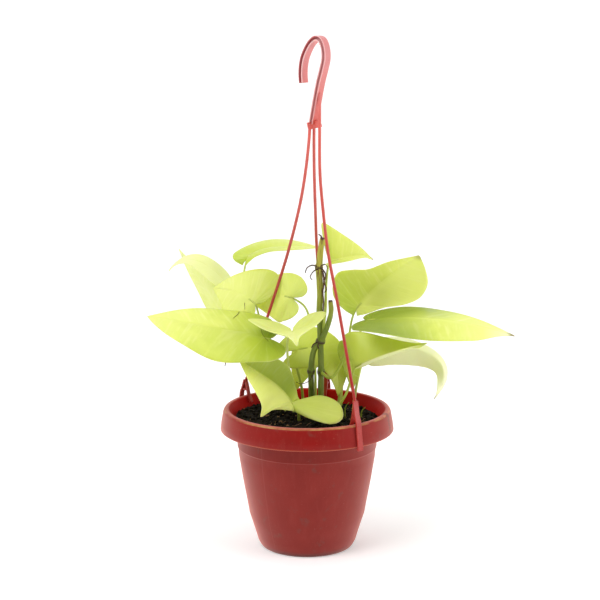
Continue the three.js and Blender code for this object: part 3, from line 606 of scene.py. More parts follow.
def blade_shell(leaf):
    """A closed sheet with a thin margin: vertices in mm, faces, and the UV maps for each vertex."""
    halves = {side: half_grid(leaf, side) for side in (1, -1)}
    rib_normal = halves[1][1][:, 0] + halves[-1][1][:, 0]
    rib_normal /= np.linalg.norm(rib_normal, axis=-1, keepdims=True)
    share = np.linspace(0, 1, ROWS + 1)[:, None]
    reach = np.linspace(0, 1, COLUMNS + 1)[None, :]
    lump = relief(share, reach)
    middle, normals, uvs, tone_and_shade_map, index = [], [], [], [], {}
    for side in (1, -1):
        grid, normal, uv = halves[side]
        for i in range(ROWS + 1):
            for j in range(COLUMNS + 1):
                if j == 0 and side < 0:
                    index[side, i, 0] = index[1, i, 0]
                    continue
                index[side, i, j] = len(middle)
                n = rib_normal[i] if j == 0 else normal[i, j]
                point = grid[i, j]
                soft = SOFT_LUMP * noise.noise(Vector(point / SOFT_LUMP_WIDE))
                soft *= 1 - abs(2 * reach[0, j] - 1) ** 4
                middle.append(point + n * (lump[i, j] + soft))
                normals.append(n)
                uvs.append(uv[i, j])
                # Each half's tone knots: partly the leaf's own tone, partly painted light and shade
                knots = leaf["tone"][0 if side > 0 else 1]
                if j == 0:
                    knots = np.mean(leaf["tone"], axis=0)
                dry = leaf.get("dry_tip", 0) * float(np.clip((share[i, 0] - DRY_FROM) / DRY_FADE, 0, 1))
                tone_and_shade_map.append((np.interp(share[i, 0], TONE_PLACES, knots), dry))
    count = len(middle)
    margin = np.ones(count)
    for (side, i, j), k in index.items():
        if j == COLUMNS or i == ROWS:
            margin[k] = MARGIN_THIN
    middle, normals = np.array(middle), np.array(normals)
    offset = normals * (margin * BLADE_THICK / 2)[:, None]
    verts = np.vstack([middle + offset, middle - offset])
    faces = []
    for side in (1, -1):
        for i in range(ROWS):
            for j in range(COLUMNS):
                corners = ((i, j), (i + 1, j), (i + 1, j + 1), (i, j + 1))
                quad = [index[side, row, column] for row, column in corners]
                if side < 0:
                    quad.reverse()
                faces += [quad, [k + count for k in quad][::-1]]
    rim = [index[1, 0, j] for j in range(COLUMNS)] + [index[1, i, COLUMNS] for i in range(ROWS + 1)]
    rim += [index[1, ROWS, j] for j in range(COLUMNS)][::-1]
    rim += [index[-1, ROWS, j] for j in range(1, COLUMNS + 1)]
    rim += [index[-1, i, COLUMNS] for i in range(ROWS)][::-1]
    rim += [index[-1, 0, j] for j in range(1, COLUMNS)][::-1]
    for a, b in zip(rim, rim[1:] + rim[:1]):
        faces.append([a, b, b + count, a + count])
    return list(verts), faces, {"leaf": uvs + uvs, "tone": tone_and_shade_map + tone_and_shade_map}


print("blade thickness mm:", BLADE_THICK, "and at the margin:", round(BLADE_THICK * MARGIN_THIN, 2))

# %% [markdown]
# ## The sixteen leaves
# The table repeats the CAD source's facts for each leaf. A half is width, lift at base and tip, curl
# at base and tip, fullness and lobe; a wave is the height of the margin's ripples in mm, their number
# and their start. A tone is given for each half at the lobe, the widest part and the tip; it is partly
# the leaf's own tone and partly painted light and shade. A stalk is a tapered tube that runs on under
# the midrib as a thick vein.

# %% Leaf facts
LEAVES = {
    "leaf_left_large": {
        "midrib": [[-36, -12, 212], [-68, -15, 219], [-116, -22, 232], [-155, -20, 236]],
        "face": [[0.1, -0.42, 0.9], [0, -0.38, 0.92]],
        "left": (36, [0, 0], [-16, 0], 1.9, 0.8),
        "right": (44, [0, 2], [-16, 0], 0.75, 0.35),
        "wave": [1.2, 1.6, 0.4], "slot": "leaf_lime",
        "tone": ((-0.3, 0.1, 0.7), (-0.6, -0.2, 0.9)),
        "stalk": [[-20, 6, 112], [-24, 8, 150], [-29, 5, 180], [-31, -4, 199]],
    },
    "leaf_front_wings": {
        "midrib": [[-14.5, -14, 220], [-13.5, -34, 224.5], [-11.5, -60, 225], [-10, -84, 220.5]],
        "face": [[0, -0.02, 1], [0, -0.02, 1]],
        "left": {
            "margin": [
                [-13.5, -4, 222], [-8, -1, 228], [2, -3, 235], [14.5, -9, 239],
                [18, -20, 238.5], [9, -42, 232], [-4, -66, 229], [-8, -77, 226.5],
                [-9, -84, 221],
            ],
            "lobe_end": 0.3, "swell": -0.08,
        },
        "right": {
            "margin": [
                [-16.5, -4, 221], [-28.5, 2, 225.5], [-44.5, -1, 229.5], [-57.5, -14, 232],
                [-51.5, -30, 230.5], [-40.5, -48, 228.5], [-27, -64, 228.5], [-17.5, -76, 227.5],
                [-10.5, -84, 221],
            ],
            "lobe_end": 0.3, "swell": -0.08,
        },
        "slot": "leaf_pale",
        "tone": [(0.2, 0.2, 0.4)] * 2, "dry_tip": 0.15,
        "stalk": [[-12, 4, 112], [-14, 6, 150], [-19, 4, 188], [-19, -1, 208]],
    },
    "leaf_front_low": {
        "midrib": [[-14, -28, 149.5], [-22.5, -20, 168.5], [-44, -22, 175], [-65, -36, 197.5]],
        "face": [[0, -0.8, 0.6], [-0.2, -0.8, 0.5]],
        "left": {
            "margin": [
                [-12.5, -33, 144.5], [-25.5, -44, 149], [-35.5, -54, 150.5], [-44.5, -59, 145.5],
                [-43.5, -59, 156.5], [-50, -56, 170.5], [-57.5, -50, 182], [-65.5, -38, 195.5],
            ],
            "lobe_end": 0.3, "swell": 0.06,
        },
        "right": {
            "margin": [
                [-11.5, -33.5, 143.8], [4.5, -47, 140], [24.5, -55, 137.5], [34.5, -44, 141],
                [31, -28, 151.5], [11.5, -18, 157], [-7, -23, 153], [-11, -21, 166],
                [-18.5, -24, 187.5], [-38, -31, 199.5], [-63, -36, 200],
            ],
            "lobe_end": 0.6, "swell": 0.03,
        },
        "slot": "leaf_lime",
        "tone": ((0.8, 0.9, 0.5), (0.35, -0.8, -0.5)),
        "stalk": [[-8, -10, 112], [-8, -16, 130], [-9, -24, 142]],
    },
    "leaf_left_round": {
        "midrib": [[-52, 44, 236], [-64, 50, 245], [-80, 58, 250], [-96, 66, 248]],
        "face": [[0.1, -0.9, 0.4], [0, -0.9, 0.5]],
        "left": (38, [-10, 0], [-8, 0], 0.6, 0.8),
        "right": (41, [5, 5], [-8, 0], 0.35, 0.8),
        "slot": "leaf_lime",
        "tone": [(0.3, 0.5, 0.5)] * 2,
        "stalk": [[-20, 32, 112], [-24, 38, 150], [-38, 47, 195], [-49, 48, 225]],
    },
    "leaf_left_arched": {
        "midrib": [[-77, 86, 241], [-92, 86, 264], [-122, 84, 290], [-142, 80, 264]],
        "face": [[0.75, -0.22, 0.6], [-0.9, -0.2, 0.3]],
        "left": (22, [0, 0], [-10, 0], 0.6, 1),
        "right": (22, [0, 0], [-10, 0], 0.6, 1),
        "slot": "leaf_pale",
        "tone": [(0.5, 0.7, 0.7)] * 2,
        "stalk": [[-30, 48, 112], [-40, 60, 150], [-66, 80, 195], [-79, 86, 230]],
    },
    "leaf_far_left": {
        "midrib": [[-88, 108, 211], [-100, 110, 232], [-122, 112, 262], [-134, 112, 282]],
        "face": [[-0.85, -0.45, 0.2], [-0.85, -0.45, 0.2]],
        "left": (24, [0, 0], [-10, 0], 0.6, 1),
        "right": (24, [0, 0], [-10, 0], 0.6, 1),
        "slot": "leaf_pale",
        "tone": [(0.1, 0.2, 0.3)] * 2,
        "stalk": [[-24, 56, 112], [-34, 68, 150], [-62, 98, 188], [-82, 108, 202]],
    },
    "leaf_top_left": {
        "midrib": [[-62, 76, 276], [-59, 76, 286], [-39.5, 76, 293.5], [11.5, 75, 289]],
        "face": [[-0.8, -0.6, 0.4], [0, -0.5, 0.8]],
        "left": {
            "margin": [
                [-66, 77, 270], [-74.5, 79, 275], [-76, 84, 280], [-63, 93, 287.5],
                [-42, 97, 293.5], [-22.5, 95, 294.5], [-5, 86, 293], [11.5, 76, 289.5],
            ],
            "lobe_end": 0.2, "swell": 0.08,
        },
        "right": {
            "margin": [
                [-63, 74, 270], [-59.5, 68, 274.5], [-51.5, 59, 282], [-37.5, 55, 287.5],
                [-20, 58, 288.5], [-4, 65, 288.5], [11.5, 74, 288.5],
            ],
            "lobe_end": 0.2, "swell": 0.08,
        },
        "slot": "leaf_pale",
        "tone": [(-0.7, -0.6, -0.4)] * 2,
        "stalk": [[-14, 44, 112], [-26, 54, 160], [-56, 77, 215], [-65, 78, 256]],
    },
    "leaf_back_round": {
        "midrib": [[-15, 46, 242], [-28, 54, 245], [-46, 62, 242], [-64, 68, 237]],
        "face": [[0.15, -0.9, 0.3], [0.1, -0.9, 0.3]],
        "left": (29, [0, 0], [-8, 0], 0.6, 1.4),
        "right": (26, [0, 0], [-8, 0], 0.6, 1.4),
        "slot": "leaf_lime",
        "tone": [(0.4, 0.4, 0.4)] * 2,
        "stalk": [[4, 48, 112], [3, 49, 160], [5, 50, 205], [-2, 50, 232]],
    },
    "leaf_behind_stems": {
        "midrib": [[-8, 29, 192], [14, 31, 200], [36, 27, 186], [31, 19, 147]],
        "face": [[0.1, -0.75, 0.65], [0.4, -0.85, 0.2]],
        "left": (24, [5, 5], [-10, 0], 0.6, 1.6),
        "right": (24, [5, 5], [-10, 0], 0.6, 1.6),
        "slot": "leaf_shaded",
        "tone": [(0.7, 0.8, 0.8)] * 2,
        "stalk": [[-3, 34, 112], [-5, 34, 150], [-11, 34, 180]],
    },
    "leaf_back_small": {
        "midrib": [[3, 60, 186], [-2, 59, 176], [-7, 58, 162], [-10, 57, 144]],
        "face": [[0, -0.9, 0.4], [0, -0.9, 0.2]],
        "left": (17, [5, 5], [-10, 0], 0.6, 1),
        "right": (17, [5, 5], [-10, 0], 0.6, 1),
        "wave": [0.6, 1.5, 0], "slot": "leaf_lime",
        "tone": [(0.2, 0.2, 0.2)] * 2,
        "stalk": [[8, 59, 112], [9, 61, 150], [7, 65, 180]],
    },
    "leaf_top_right": {
        "midrib": [[22, 6, 285], [36, 3, 289], [52, 6, 297], [65, 10, 287]],
        "face": [[0, -0.6, 0.8], [0, -0.4, 0.9]],
        "left": (42, [40, 25], [0, 0], 0.05, 0.2),
        "right": (24, [40, 15], [0, 0], 0.6, 0.2),
        "wave": [0.8, 1.5, 0], "slot": "leaf_lime",
        "tone": [(0.2, 0.2, 0.5)] * 2, "dry_tip": 0.8,
        "stalk": [[15, 4, 212], [18, 5, 238], [19, 6, 266]],
    },
    "leaf_right_upper": {
        "midrib": [[49.5, 40, 231], [64.5, 40, 253], [91.5, 40, 273.5], [112.5, 40, 286]],
        "face": [[0.05, -0.95, 0.3], [0.05, -0.95, 0.3]],
        "left": {
            "margin": [
                [46.5, 40, 225], [36.5, 38, 232], [27, 36.5, 244.5], [26, 37, 258],
                [31, 39, 269], [45, 42, 271.5], [61.5, 43, 272], [81.5, 43, 279.5],
                [112, 40.5, 286.5],
            ],
            "lobe_end": 0.35, "swell": -0.05,
        },
        "right": {
            "margin": [
                [50.5, 40, 224.5], [59.5, 38, 227], [77.5, 37, 233.5], [99.5, 37.5, 237],
                [114.5, 39.5, 244], [121.5, 42, 257], [119, 42, 272], [113.5, 40.5, 285],
            ],
            "lobe_end": 0.3, "swell": -0.05,
        },
        "slot": "leaf_lime",
        "tone": ((0.1, 0.2, 0.3), (0.7, 0.9, 0.6)), "dry_tip": 0.5,
        "stalk": [[34, 44, 112], [36, 50, 150], [43, 54, 200], [46, 47, 221]],
    },
    "leaf_right_long": {
        "midrib": [[58, -3, 229], [100, -19, 238], [145, -40, 238], [196, -60, 225]],
        "face": [[0, -0.12, 1], [0, -0.12, 1]],
        "left": (46, [1, 0], [-10, 0], 0.6, 0.3),
        "right": (46, [8, -32], [-10, 0], 0.9, 0.3),
        "slot": "leaf_lime",
        "tone": ((-1.9, -1.2, 1.6), (-1.7, -0.9, 1.9)), "dry_tip": 0.8,
        "stalk": [[30, 22, 112], [34, 28, 150], [44, 31, 185], [54, 28, 212], [56, 8, 224]],
    },
    "leaf_right_folded": {
        "midrib": [[47, 0, 180], [60, -12, 192], [86, -12, 201], [118, -8, 207]],
        "face": [[-0.65, -0.7, 0.3], [0, -0.6, 0.7]],
        "left": (38, [12, 0], [-10, 0], 0.1, 0.1),
        "right": (18, [-102, -112], [0, 0], 0.6, 0.1),
        "slot": "leaf_shaded",
        "tone": ((0.7, 0.9, 0.9), (1.2, 1.4, 1.2)),
        "stalk": [[28, -14, 112], [31, -13, 142], [39, -11, 158], [44, -4, 172]],
    },
    "leaf_right_drooping": {
        "midrib": [[62, 36, 193], [100, 30, 200], [162, 14, 192], [126, 4, 147]],
        "face": [[0, -0.3, 0.95], [0.9, -0.4, 0]],
        "left": (20, [0, 0], [-10, 0], 0.6, 0.5),
        "right": (24, [-86, -86], [0, 0], 0.6, 0.5),
        "slot": "leaf_pale",
        "tone": ((1.4, 1.7, 1.9), (1.7, 1.9, 2)), "dry_tip": 0.5,
        "stalk": [[46, 34, 112], [50, 38, 150], [58, 41, 182]],
    },
    "leaf_right_low": {
        "midrib": [[41, 25, 197], [44, 24, 189], [47, 23, 169], [45, 21, 151]],
        "face": [[0.2, -0.9, 0.3], [0.2, -0.9, 0.2]],
        "left": (13, [5, 5], [-12, 0], 0.6, 1),
        "right": (13, [5, 5], [-12, 0], 0.6, 1),
        "wave": [0.6, 1.5, 0], "slot": "leaf_shaded",
        "tone": [(0.2, 0.3, 0.3)] * 2,
        "stalk": [[13.8, 3, 175], [22.9, -4, 171], [30, 0, 177], [36, 10, 189]],
    },
}
print("leaves:", len(LEAVES))

# %% Grow every leaf
STALK_RADIUS, STALK_END_RADIUS, STALK_SIDES, STALK_STEPS = 1.7, 0.9, 14, 46
RUN_IN, JUNCTION_DEEP, RUN_IN_DEEP = 9, 0.7, 0.45
STALK_UV = (0.5 / VEINS, 0.5)
STALK_TONE = (0.2, 0)
USUAL_WAVE = [1, 1.5, 0]


def rib_up(leaf, share):
    """The upward direction on the midrib, from short steps on the surface of a plain leaf."""
    if isinstance(leaf["left"], dict):
        return facing(leaf, share)
    here = blade_point(leaf, np.array(share), np.array(0.0), 1)
    onward = blade_point(leaf, np.array(share + 0.01), np.array(0.0), 1) - here
    left = unit(blade_point(leaf, np.array(share), np.array(0.01), 1) - here)
    right = unit(blade_point(leaf, np.array(share), np.array(0.01), -1) - here)
    return unit(np.cross(onward, left - right))


def stalk_path(leaf):
    """The stalk's points: up from the soil, to the notch, and on under the midrib."""
    junction = np.array(leaf["midrib"][0]) - JUNCTION_DEEP * rib_up(leaf, 0.0)
    run_in = []
    for distance in (0.5 * RUN_IN, RUN_IN):
        share = distance / leaf["rib"].length
        run_in.append(leaf["rib"].at(np.array(share))[0] - RUN_IN_DEEP * rib_up(leaf, share))
    return [*leaf["stalk"], junction, *run_in]


leaf_objects = []
for name, facts in LEAVES.items():
    leaf = {"wave": USUAL_WAVE, "rib": Midrib(facts["midrib"]), **facts}
    verts, faces, maps = blade_shell(leaf)
    stalk = tapered(smooth_path(stalk_path(leaf), STALK_STEPS), STALK_RADIUS, STALK_END_RADIUS,
                    STALK_SIDES, 0.04, [0.31, 0.87, 0.38])
    maps["leaf"] += [STALK_UV] * len(stalk[0])
    maps["tone"] += [STALK_TONE] * len(stalk[0])
    leaf_objects.append(piece(name + "_skin", [(verts, faces), stalk], leaf_skins[leaf["slot"]],
                              name, maps))
print("leaf triangles:", sum(triangles(made) for made in leaf_objects))

# %% [markdown]
# ## Stem skin
# A young vine is green and waxy. The old stem above the middle node has turned straw yellow with
# brown streaks, and it is corky at nodes and cuts. The mesh carries its age in a UV map, from 0 for
# green to 1 for dry cork, so the shader knows where to change without any painting. The roots that
# have dried in the air are shrivelled and dark.

# %% Materials: living stem and dry root
def living_stem():
    """Green stem that goes over to streaked straw above 250 mm and to cork where the age is high."""
    material, tree, shader, place = new_material("living green stem")
    height = node(tree, "SeparateXYZ", {0: place}).outputs["Z"]
    age = node(tree, "SeparateXYZ", {0: node(tree, "UVMap", uv_map="stem")}).outputs["Y"]
    long_way = node(tree, "Mapping", {"Vector": place, "Scale": (1, 1, 0.12)})
    streaks = node(tree, "TexNoise", {"Vector": long_way, "Scale": 1 / (1.6 * MM), "Detail": 4})
    straw = node(tree, "MapRange", {0: height, 1: 0.225, 2: 0.275})
    light = node(tree, "MapRange", {0: streaks, 1: 0.4, 2: 0.65, 4: 0.6})
    brown = node(tree, "MapRange", {0: streaks, 1: 0.58, 2: 0.66})
    old_brown = node(tree, "Math", {0: brown, 1: straw}, operation="MULTIPLY")
    ragged = node(tree, "Math", {0: streaks, 1: 0.7, 2: age}, operation="MULTIPLY_ADD")
    cork = node(tree, "MapRange", {0: ragged, 1: 0.85, 2: 1.15})
    skin = colour("#718425")
    for mask, hue in ((straw, "#B6AC42"), (light, "#8E9C3A"), (old_brown, "#7A4A22"), (cork, "#4A3020")):
        skin = node(tree, "Mix", {0: mask, 6: skin, 7: colour(hue)}, data_type="RGBA")
    fill(tree, shader, {
        "Base Color": skin, "Roughness": 0.45, "IOR": 1.42,
        "Normal": node(tree, "Bump", {"Strength": 0.4, "Distance": 0.2 * MM, "Height": streaks}),
        "Subsurface Weight": 0.15, "Subsurface Radius": (0.8, 1.0, 0.2), "Subsurface Scale": 1.5 * MM,
    })
    return material


def dry_root_skin():
    """Shrivelled aerial root: matt, dark brown, wrinkled along its length every millimetre."""
    material, tree, shader, place = new_material("shrivelled root bark")
    wrinkles = node(tree, "TexNoise", {"Vector": place, "Scale": 1 / (0.9 * MM), "Detail": 4})
    tone = node(tree, "MapRange", {0: wrinkles, 1: 0.35, 2: 0.68})
    fill(tree, shader, {
        "Base Color": node(tree, "Mix", {0: tone, 6: colour("#2A1814"), 7: colour("#6A4632")},
                           data_type="RGBA"),
        "Normal": node(tree, "Bump", {"Strength": 0.6, "Distance": 0.2 * MM, "Height": wrinkles}),
        "Roughness": 0.85,
    })
    return material


stem_skin, root_skin = living_stem(), dry_root_skin()
print("materials:", stem_skin.name, "and", root_skin.name)

# %% [markdown]
# ## The vine
# Two stems rise from the soil and meet at a node. Above it the old stem goes on to its cut top, and
# a green shoot leaves to the right and is cut short too. A stem swells at each node and carries a
# ring-shaped leaf scar there, so the section's radius grows near a node instead of adding balls.
# Dry aerial roots come from the nodes; a little noise makes each as crooked as a real one.

# %% Stems with nodes and scars
STEMS = [
    ([[13.4, 6, 108], [13.4, 5, 140], [13.8, 5, 174], [13.3, 5, 205]], 3.1, 2.9, False),
    ([[5.5, 12, 108], [4.6, 10, 150], [3.9, 8, 176], [6.9, 6, 197], [13.3, 5, 207]], 3.0, 2.8, False),
    ([[13.3, 5, 205], [12.1, 5, 236], [12.7, 5, 254], [11.4, 5, 279]], 2.9, 3.3, False),
    ([[11.4, 5, 279], [13.1, 5, 297], [14.9, 5, 309.5]], 3.5, 2.5, True),
    ([[13.3, 4, 205], [20.3, -1, 223.8], [23.4, -2, 237], [22.7, -2, 248.5]], 2.9, 2.3, True),
]
NODES = [(175, 4.0), (206, 4.3), (280, 4.1)]
STEM_SIDES, STEM_STEP = 18, 0.8
GREEN_AGE, NODE_AGE = 0.1, 0.75
SWELL_REACH, CORK_REACH, CUT_CORK_REACH = 2.6, 3.2, 5
SCAR_HIGH, SCAR_AWAY, SCAR_WIDE = 0.25, 2.4, 0.5
STEM_LUMP, STEM_LUMP_WIDE = 0.16, 6
CUT_SHRINK, CUT_SHRINK_REACH = 0.12, 2


def stem_shell(points, start, end, cut_short):
    """One stem: a tube that swells at the nodes' heights, with share and age for each vertex."""
    length = sum(math.dist(a, b) for a, b in zip(points, points[1:]))
    path = smooth_path(points, int(length / STEM_STEP))
    ages = []

    def section(share):
        point = path[round(share * (len(path) - 1))]
        radius = start + (end - start) * share
        age = GREEN_AGE
        for level, swollen in NODES:
            away = abs(point[2] - level)
            radius += max(0, swollen - radius) * math.exp(-(away / SWELL_REACH) ** 2)
            radius += SCAR_HIGH * math.exp(-((away - SCAR_AWAY) / SCAR_WIDE) ** 2)
            age = max(age, NODE_AGE * math.exp(-(away / CORK_REACH) ** 2))
        radius += STEM_LUMP * noise.noise(Vector(point / STEM_LUMP_WIDE))
        if cut_short:
            to_end = (1 - share) * length
            age = max(age, 1 - to_end / CUT_CORK_REACH)
            radius *= 1 - CUT_SHRINK * math.exp(-(to_end / CUT_SHRINK_REACH) ** 2)
        ages.append(age)
        return ring(radius, STEM_SIDES, 0.03)

    shell = swept(path, section, [1, 0.1, 0])
    ages = ages[1:]  # swept() asks for the first section once more, to count its corners
    uvs = [(i / len(path), ages[i]) for i in range(len(path)) for _ in range(STEM_SIDES)]
    return shell, uvs


stem_shells, stem_uvs = [], []
for points, start, end, cut_short in STEMS:
    shell, uvs = stem_shell(points, start, end, cut_short)
    stem_shells.append(shell)
    stem_uvs += uvs
vine = piece("vine_stems", stem_shells, stem_skin, "vine", {"stem": stem_uvs})
print("vine triangles:", triangles(vine))

# %% Dry aerial roots
ROOTS = [
    ([[11, 3, 281], [5, 0, 283], [0, -3, 281], [-2, -4, 276]], 0.8, 0.45),
    ([[11, 2, 279], [6, -2, 277], [3, -3, 272], [5, -5, 269]], 0.7, 0.4),
    ([[12, 3, 281], [18, -1, 284], [20, -3, 280]], 0.8, 0.4),
    ([[14, 3, 280], [18, 0, 274], [17, -1, 266], [19, -1, 259], [17, 0, 256]], 0.8, 0.5),
    ([[12, 4, 206], [6, -1, 204], [4.5, -2.5, 201]], 0.8, 0.5),
    ([[15, 2, 277], [16.6, 2.2, 268], [15.4, 1.6, 256], [16.2, 1.8, 244], [15.2, 2, 232]], 1.0, 0.5),
    ([[14.6, 5, 308.5], [13.2, 4.4, 311.5], [11.2, 4, 312.8]], 0.9, 0.5),
    ([[13, 1.5, 206], [10.5, -1.5, 203], [11.5, -2, 200]], 0.9, 0.5),
    ([[6, 8, 173], [2, -1, 167], [-6, -2, 164.3], [-11, -1, 166]], 0.5, 0.3),
]
ROOT_CROOKED = 0.25
root_shells = []
for points, start, end in ROOTS:
    path = smooth_path(points, 26)
    crooked = [[noise.noise(Vector(p * 0.9)), noise.noise(Vector(p * 0.9 + 40)), 0] for p in path]
    path += ROOT_CROOKED * np.array(crooked)
    root_shells.append(tapered(path, start, end, 8, 0.12, [0.3, 0.9, 0.1]))
roots = piece("vine_dry_roots", root_shells, root_skin, "vine")
print("root triangles:", triangles(roots))

# %% [markdown]
# ## Fibres and sprouts
# A few dry fibres lie on the large leaf or stick out at its margin, and three small green sprouts
# come up near the right clip. They are thin tapering tubes, like the roots, with fewer points.

# %% Fibres on the large leaf and sprouts in the soil
FIBRES = [
    ([[-67.5, 20.5, 233], [-68.6, 14, 231.4], [-73, 4, 229.4]], 0.25, 0.15),
    ([[-45.3, -2, 220], [-43.3, -10, 215.8], [-38, -17.6, 211]], 0.18, 0.12),
    ([[-30, -2.5, 215.4], [-29.4, -3.5, 214.6]], 0.7, 0.5),
    ([[-62.7, 40, 238], [-62.6, 40.2, 231]], 0.35, 0.2),
    ([[-79.3, -16, 191], [-80.4, -15.6, 185.5]], 0.6, 0.4),
]
SPROUTS = [
    ([[37.5, -2, 129], [38.2, -3, 141], [41.5, -4, 146]], 1.1, 0.4),
    ([[53.4, -6, 128], [54.3, -7, 138], [57.5, -7, 142]], 1.0, 0.4),
    ([[50, -9, 128], [47, -8, 136], [44, -8, 139]], 0.8, 0.3),
]
YOUNG = (0.5, 0.1)

fibre_shells = [tapered(smooth_path(points, 10), start, end, 6, 0.1, [0.3, 0.9, 0.1])
                for points, start, end in FIBRES]
fibres = piece("leaf_left_large_fibres", fibre_shells, root_skin, "leaf_left_large")
sprout_shells = [tapered(smooth_path(points, 12), start, end, 8, 0, [1, 0.1, 0])
                 for points, start, end in SPROUTS]
sprout_uvs = [YOUNG] * sum(len(verts) for verts, faces in sprout_shells)
sprouts = piece("soil_sprouts", sprout_shells, stem_skin, "soil", {"stem": sprout_uvs})
print("fibre triangles:", triangles(fibres), "and sprouts:", triangles(sprouts))

# %% [markdown]
# ## Hanger plastic
# The hanger is moulded in a glossier polypropylene than the pot. The strands are thin and let some
# light in, so they look brighter, and the hook has faded to a pinkish red.

# %% Material: glossy polypropylene
def glossy_polypropylene():
    """Glossy red plastic, paler towards the top; its heights are in metres."""
    material, tree, shader, place = new_material("glossy red polypropylene")
    height = node(tree, "SeparateXYZ", {0: place}).outputs["Z"]
    faded = node(tree, "MapRange", {0: height, 1: 0.2, 2: 0.44})
    clouds = node(tree, "TexNoise", {"Vector": place, "Scale": 1 / (9 * MM), "Detail": 4})
    clouded = node(tree, "MapRange", {0: clouds, 1: 0.4, 2: 0.7, 4: 0.35})
    bleached = node(tree, "MapRange", {0: height, 1: 0.42, 2: 0.48, 4: 0.65})

    # In the UV map "groove", x is 1 on the shaded side of each groove and falls off over its floor,
    # and y goes from -1 to 1 across the strip. The strip's edges get a painted pale highlight, and its
    # grooves painted shade
    groove = node(tree, "SeparateXYZ", {0: node(tree, "UVMap", uv_map="groove")})
    across = node(tree, "Math", {0: groove.outputs["Y"]}, operation="ABSOLUTE")
    edge_highlight = node(tree, "MapRange", {0: across, 1: 0.7, 2: 0.92, 4: 0.6})
    groove_shade = node(tree, "MapRange", {0: groove.outputs["X"], 1: 0.05, 2: 0.6, 4: 0.85})
    skin = colour("#A8241A")
    for mask, hue in (
        (faded, "#E0685C"), (clouded, "#C2504C"), (bleached, "#DE9A9C"), (edge_highlight, "#F6D2D0"),
        (groove_shade, "#A83A3C"),
    ):
        skin = node(tree, "Mix", {0: mask, 6: skin, 7: colour(hue)}, data_type="RGBA")

    # Scuffs: a grain of 1.2 mm in roughness and bump
    scuffs = node(tree, "TexNoise", {"Vector": place, "Scale": 1 / (1.2 * MM), "Detail": 3})
    fill(tree, shader, {
        "Base Color": skin, "IOR": 1.49,
        "Roughness": node(tree, "MapRange", {0: scuffs, 1: 0.3, 2: 0.7, 3: 0.25, 4: 0.42}),
        "Normal": node(tree, "Bump", {"Strength": 0.15, "Distance": 0.05 * MM, "Height": scuffs}),
        "Subsurface Weight": 0.1, "Subsurface Radius": (1.0, 0.25, 0.2), "Subsurface Scale": 1.5 * MM,
    })
    return material


hanger_plastic = glossy_polypropylene()
print("material:", hanger_plastic.name)

# %% [markdown]
# ## The hanger
# It is one moulding: a hook of I-shaped section, stiff for little plastic, a flat shank, and three
# thin strands, each with a clip that straddles the pot's lip. Each part is a section swept along the
# CAD's own route, and a bevel rounds the corners as the mould's edges do.

# %% Hook and shank
HOOK_CURVE = [
    (-16.2, 459), (-17.0, 466), (-16.6, 474), (-14.6, 482.5), (-10.4, 490.5), (-4.6, 497.6), (2.2, 501.6),
    (8.4, 500), (12.6, 493), (13.6, 483), (10.6, 472), (6.8, 461), (1.6, 441), (-3.2, 420.5),
]
TURN = math.radians(-45)
SHANK_X = 8
STRIP_WIDTH, STRIP_THICK, FLANGE, GROOVE = 8.5, 5, 1.4, 2.8


def grooved(share):
    """The strip's outline: a groove runs along each narrow side."""
    w, t, f, g = STRIP_WIDTH / 2, STRIP_THICK / 2, FLANGE, GROOVE
    return [(-w, -t), (w, -t), (w, f - t), (w - g, f - t), (w - g, t - f), (w, t - f),
            (w, t), (-w, t), (-w, t - f), (g - w, t - f), (g - w, f - t), (-w, f - t)]


def oblong(width, thick):
    """A rectangular outline."""
    w, t = width / 2, thick / 2
    return [(-w, -t), (w, -t), (w, t), (-w, t)]


across_plane = [-math.sin(TURN), math.cos(TURN), 0]
hook_points = [[SHANK_X + u * math.cos(TURN), u * math.sin(TURN), z] for u, z in HOOK_CURVE]
hanger_shells = [swept(smooth_path(hook_points, 96), grooved, across_plane)]
IN_SHADE = (0, 0, 1, 1, 0, 0, 0, 0, 1, 1, 0, 0)
AT_EDGE = (-1, 1, 1, 1, 1, 1, 1, -1, -1, -1, -1, -1)
groove_uvs = list(zip(IN_SHADE, AT_EDGE)) * (len(hanger_shells[0][0]) // len(IN_SHADE))
plate = smooth_path([[0.4, 1, 418], [6, 2.5, 419.5], [12.4, -4, 421]], 10)
hanger_shells.append(swept(plate, lambda share: oblong(7, 3.2), [0, 0, 1]))
print("hook height mm:", max(z for u, z in HOOK_CURVE))

# %% Strands and clips
STRANDS = {
    "left": [
        [2.6, 1, 421], [1.7, 4, 405], [-1.7, 9.6, 373], [-7, 15.4, 341], [-18.9, 24.2, 292],
        [-34.1, 33.3, 242],
    ],
    "back": [[6.6, 3, 421], [6.5, 8.5, 404], [6.9, 17, 372], [8.2, 28, 333], [10, 39.7, 290]],
    "right": [
        [11.9, -4.6, 451], [11.7, -12, 415], [12, -20, 376], [14.4, -26.6, 346], [19.6, -36, 302],
        [28.2, -45.6, 257],
    ],
}
CLIPS = {"left": (142, 157), "back": (75, 155), "right": (-55, 163)}
CLIP_RADIUS = 79.3
STRAND_RADIUS, STRAND_SIDES = 1.5, 14


def clip_shells(azimuth, top):
    """A wide strap outside with a catch under the skirt, a slim leg inside, and a bar over the lip."""
    out = np.array([math.cos(azimuth), math.sin(azimuth), 0])
    along = np.array([-out[1], out[0], 0])
    strap = [(CLIP_RADIUS, top), (81.4, 150), (84.2, 143.5), (85.0, 137), (87.6, 119), (87.8, 115.8)]
    leg = [(CLIP_RADIUS, top), (77.2, 150), (75.4, 142), (71.6, 134)]
    bar = [(76.4, 146.6), (83, 146.6)]
    catch = [(87.8, 117.4), (85.2, 117.6)]
    shells = []
    for route, width, thick in ((strap, 6, 2), (leg, 4, 2.2), (bar, 4, 2), (catch, 6, 1.8)):
        path = np.array([out * radius + np.array([0, 0, z]) for radius, z in route])
        section = oblong(width, thick)
        shells.append(swept(path, lambda share: section, along))
    return shells


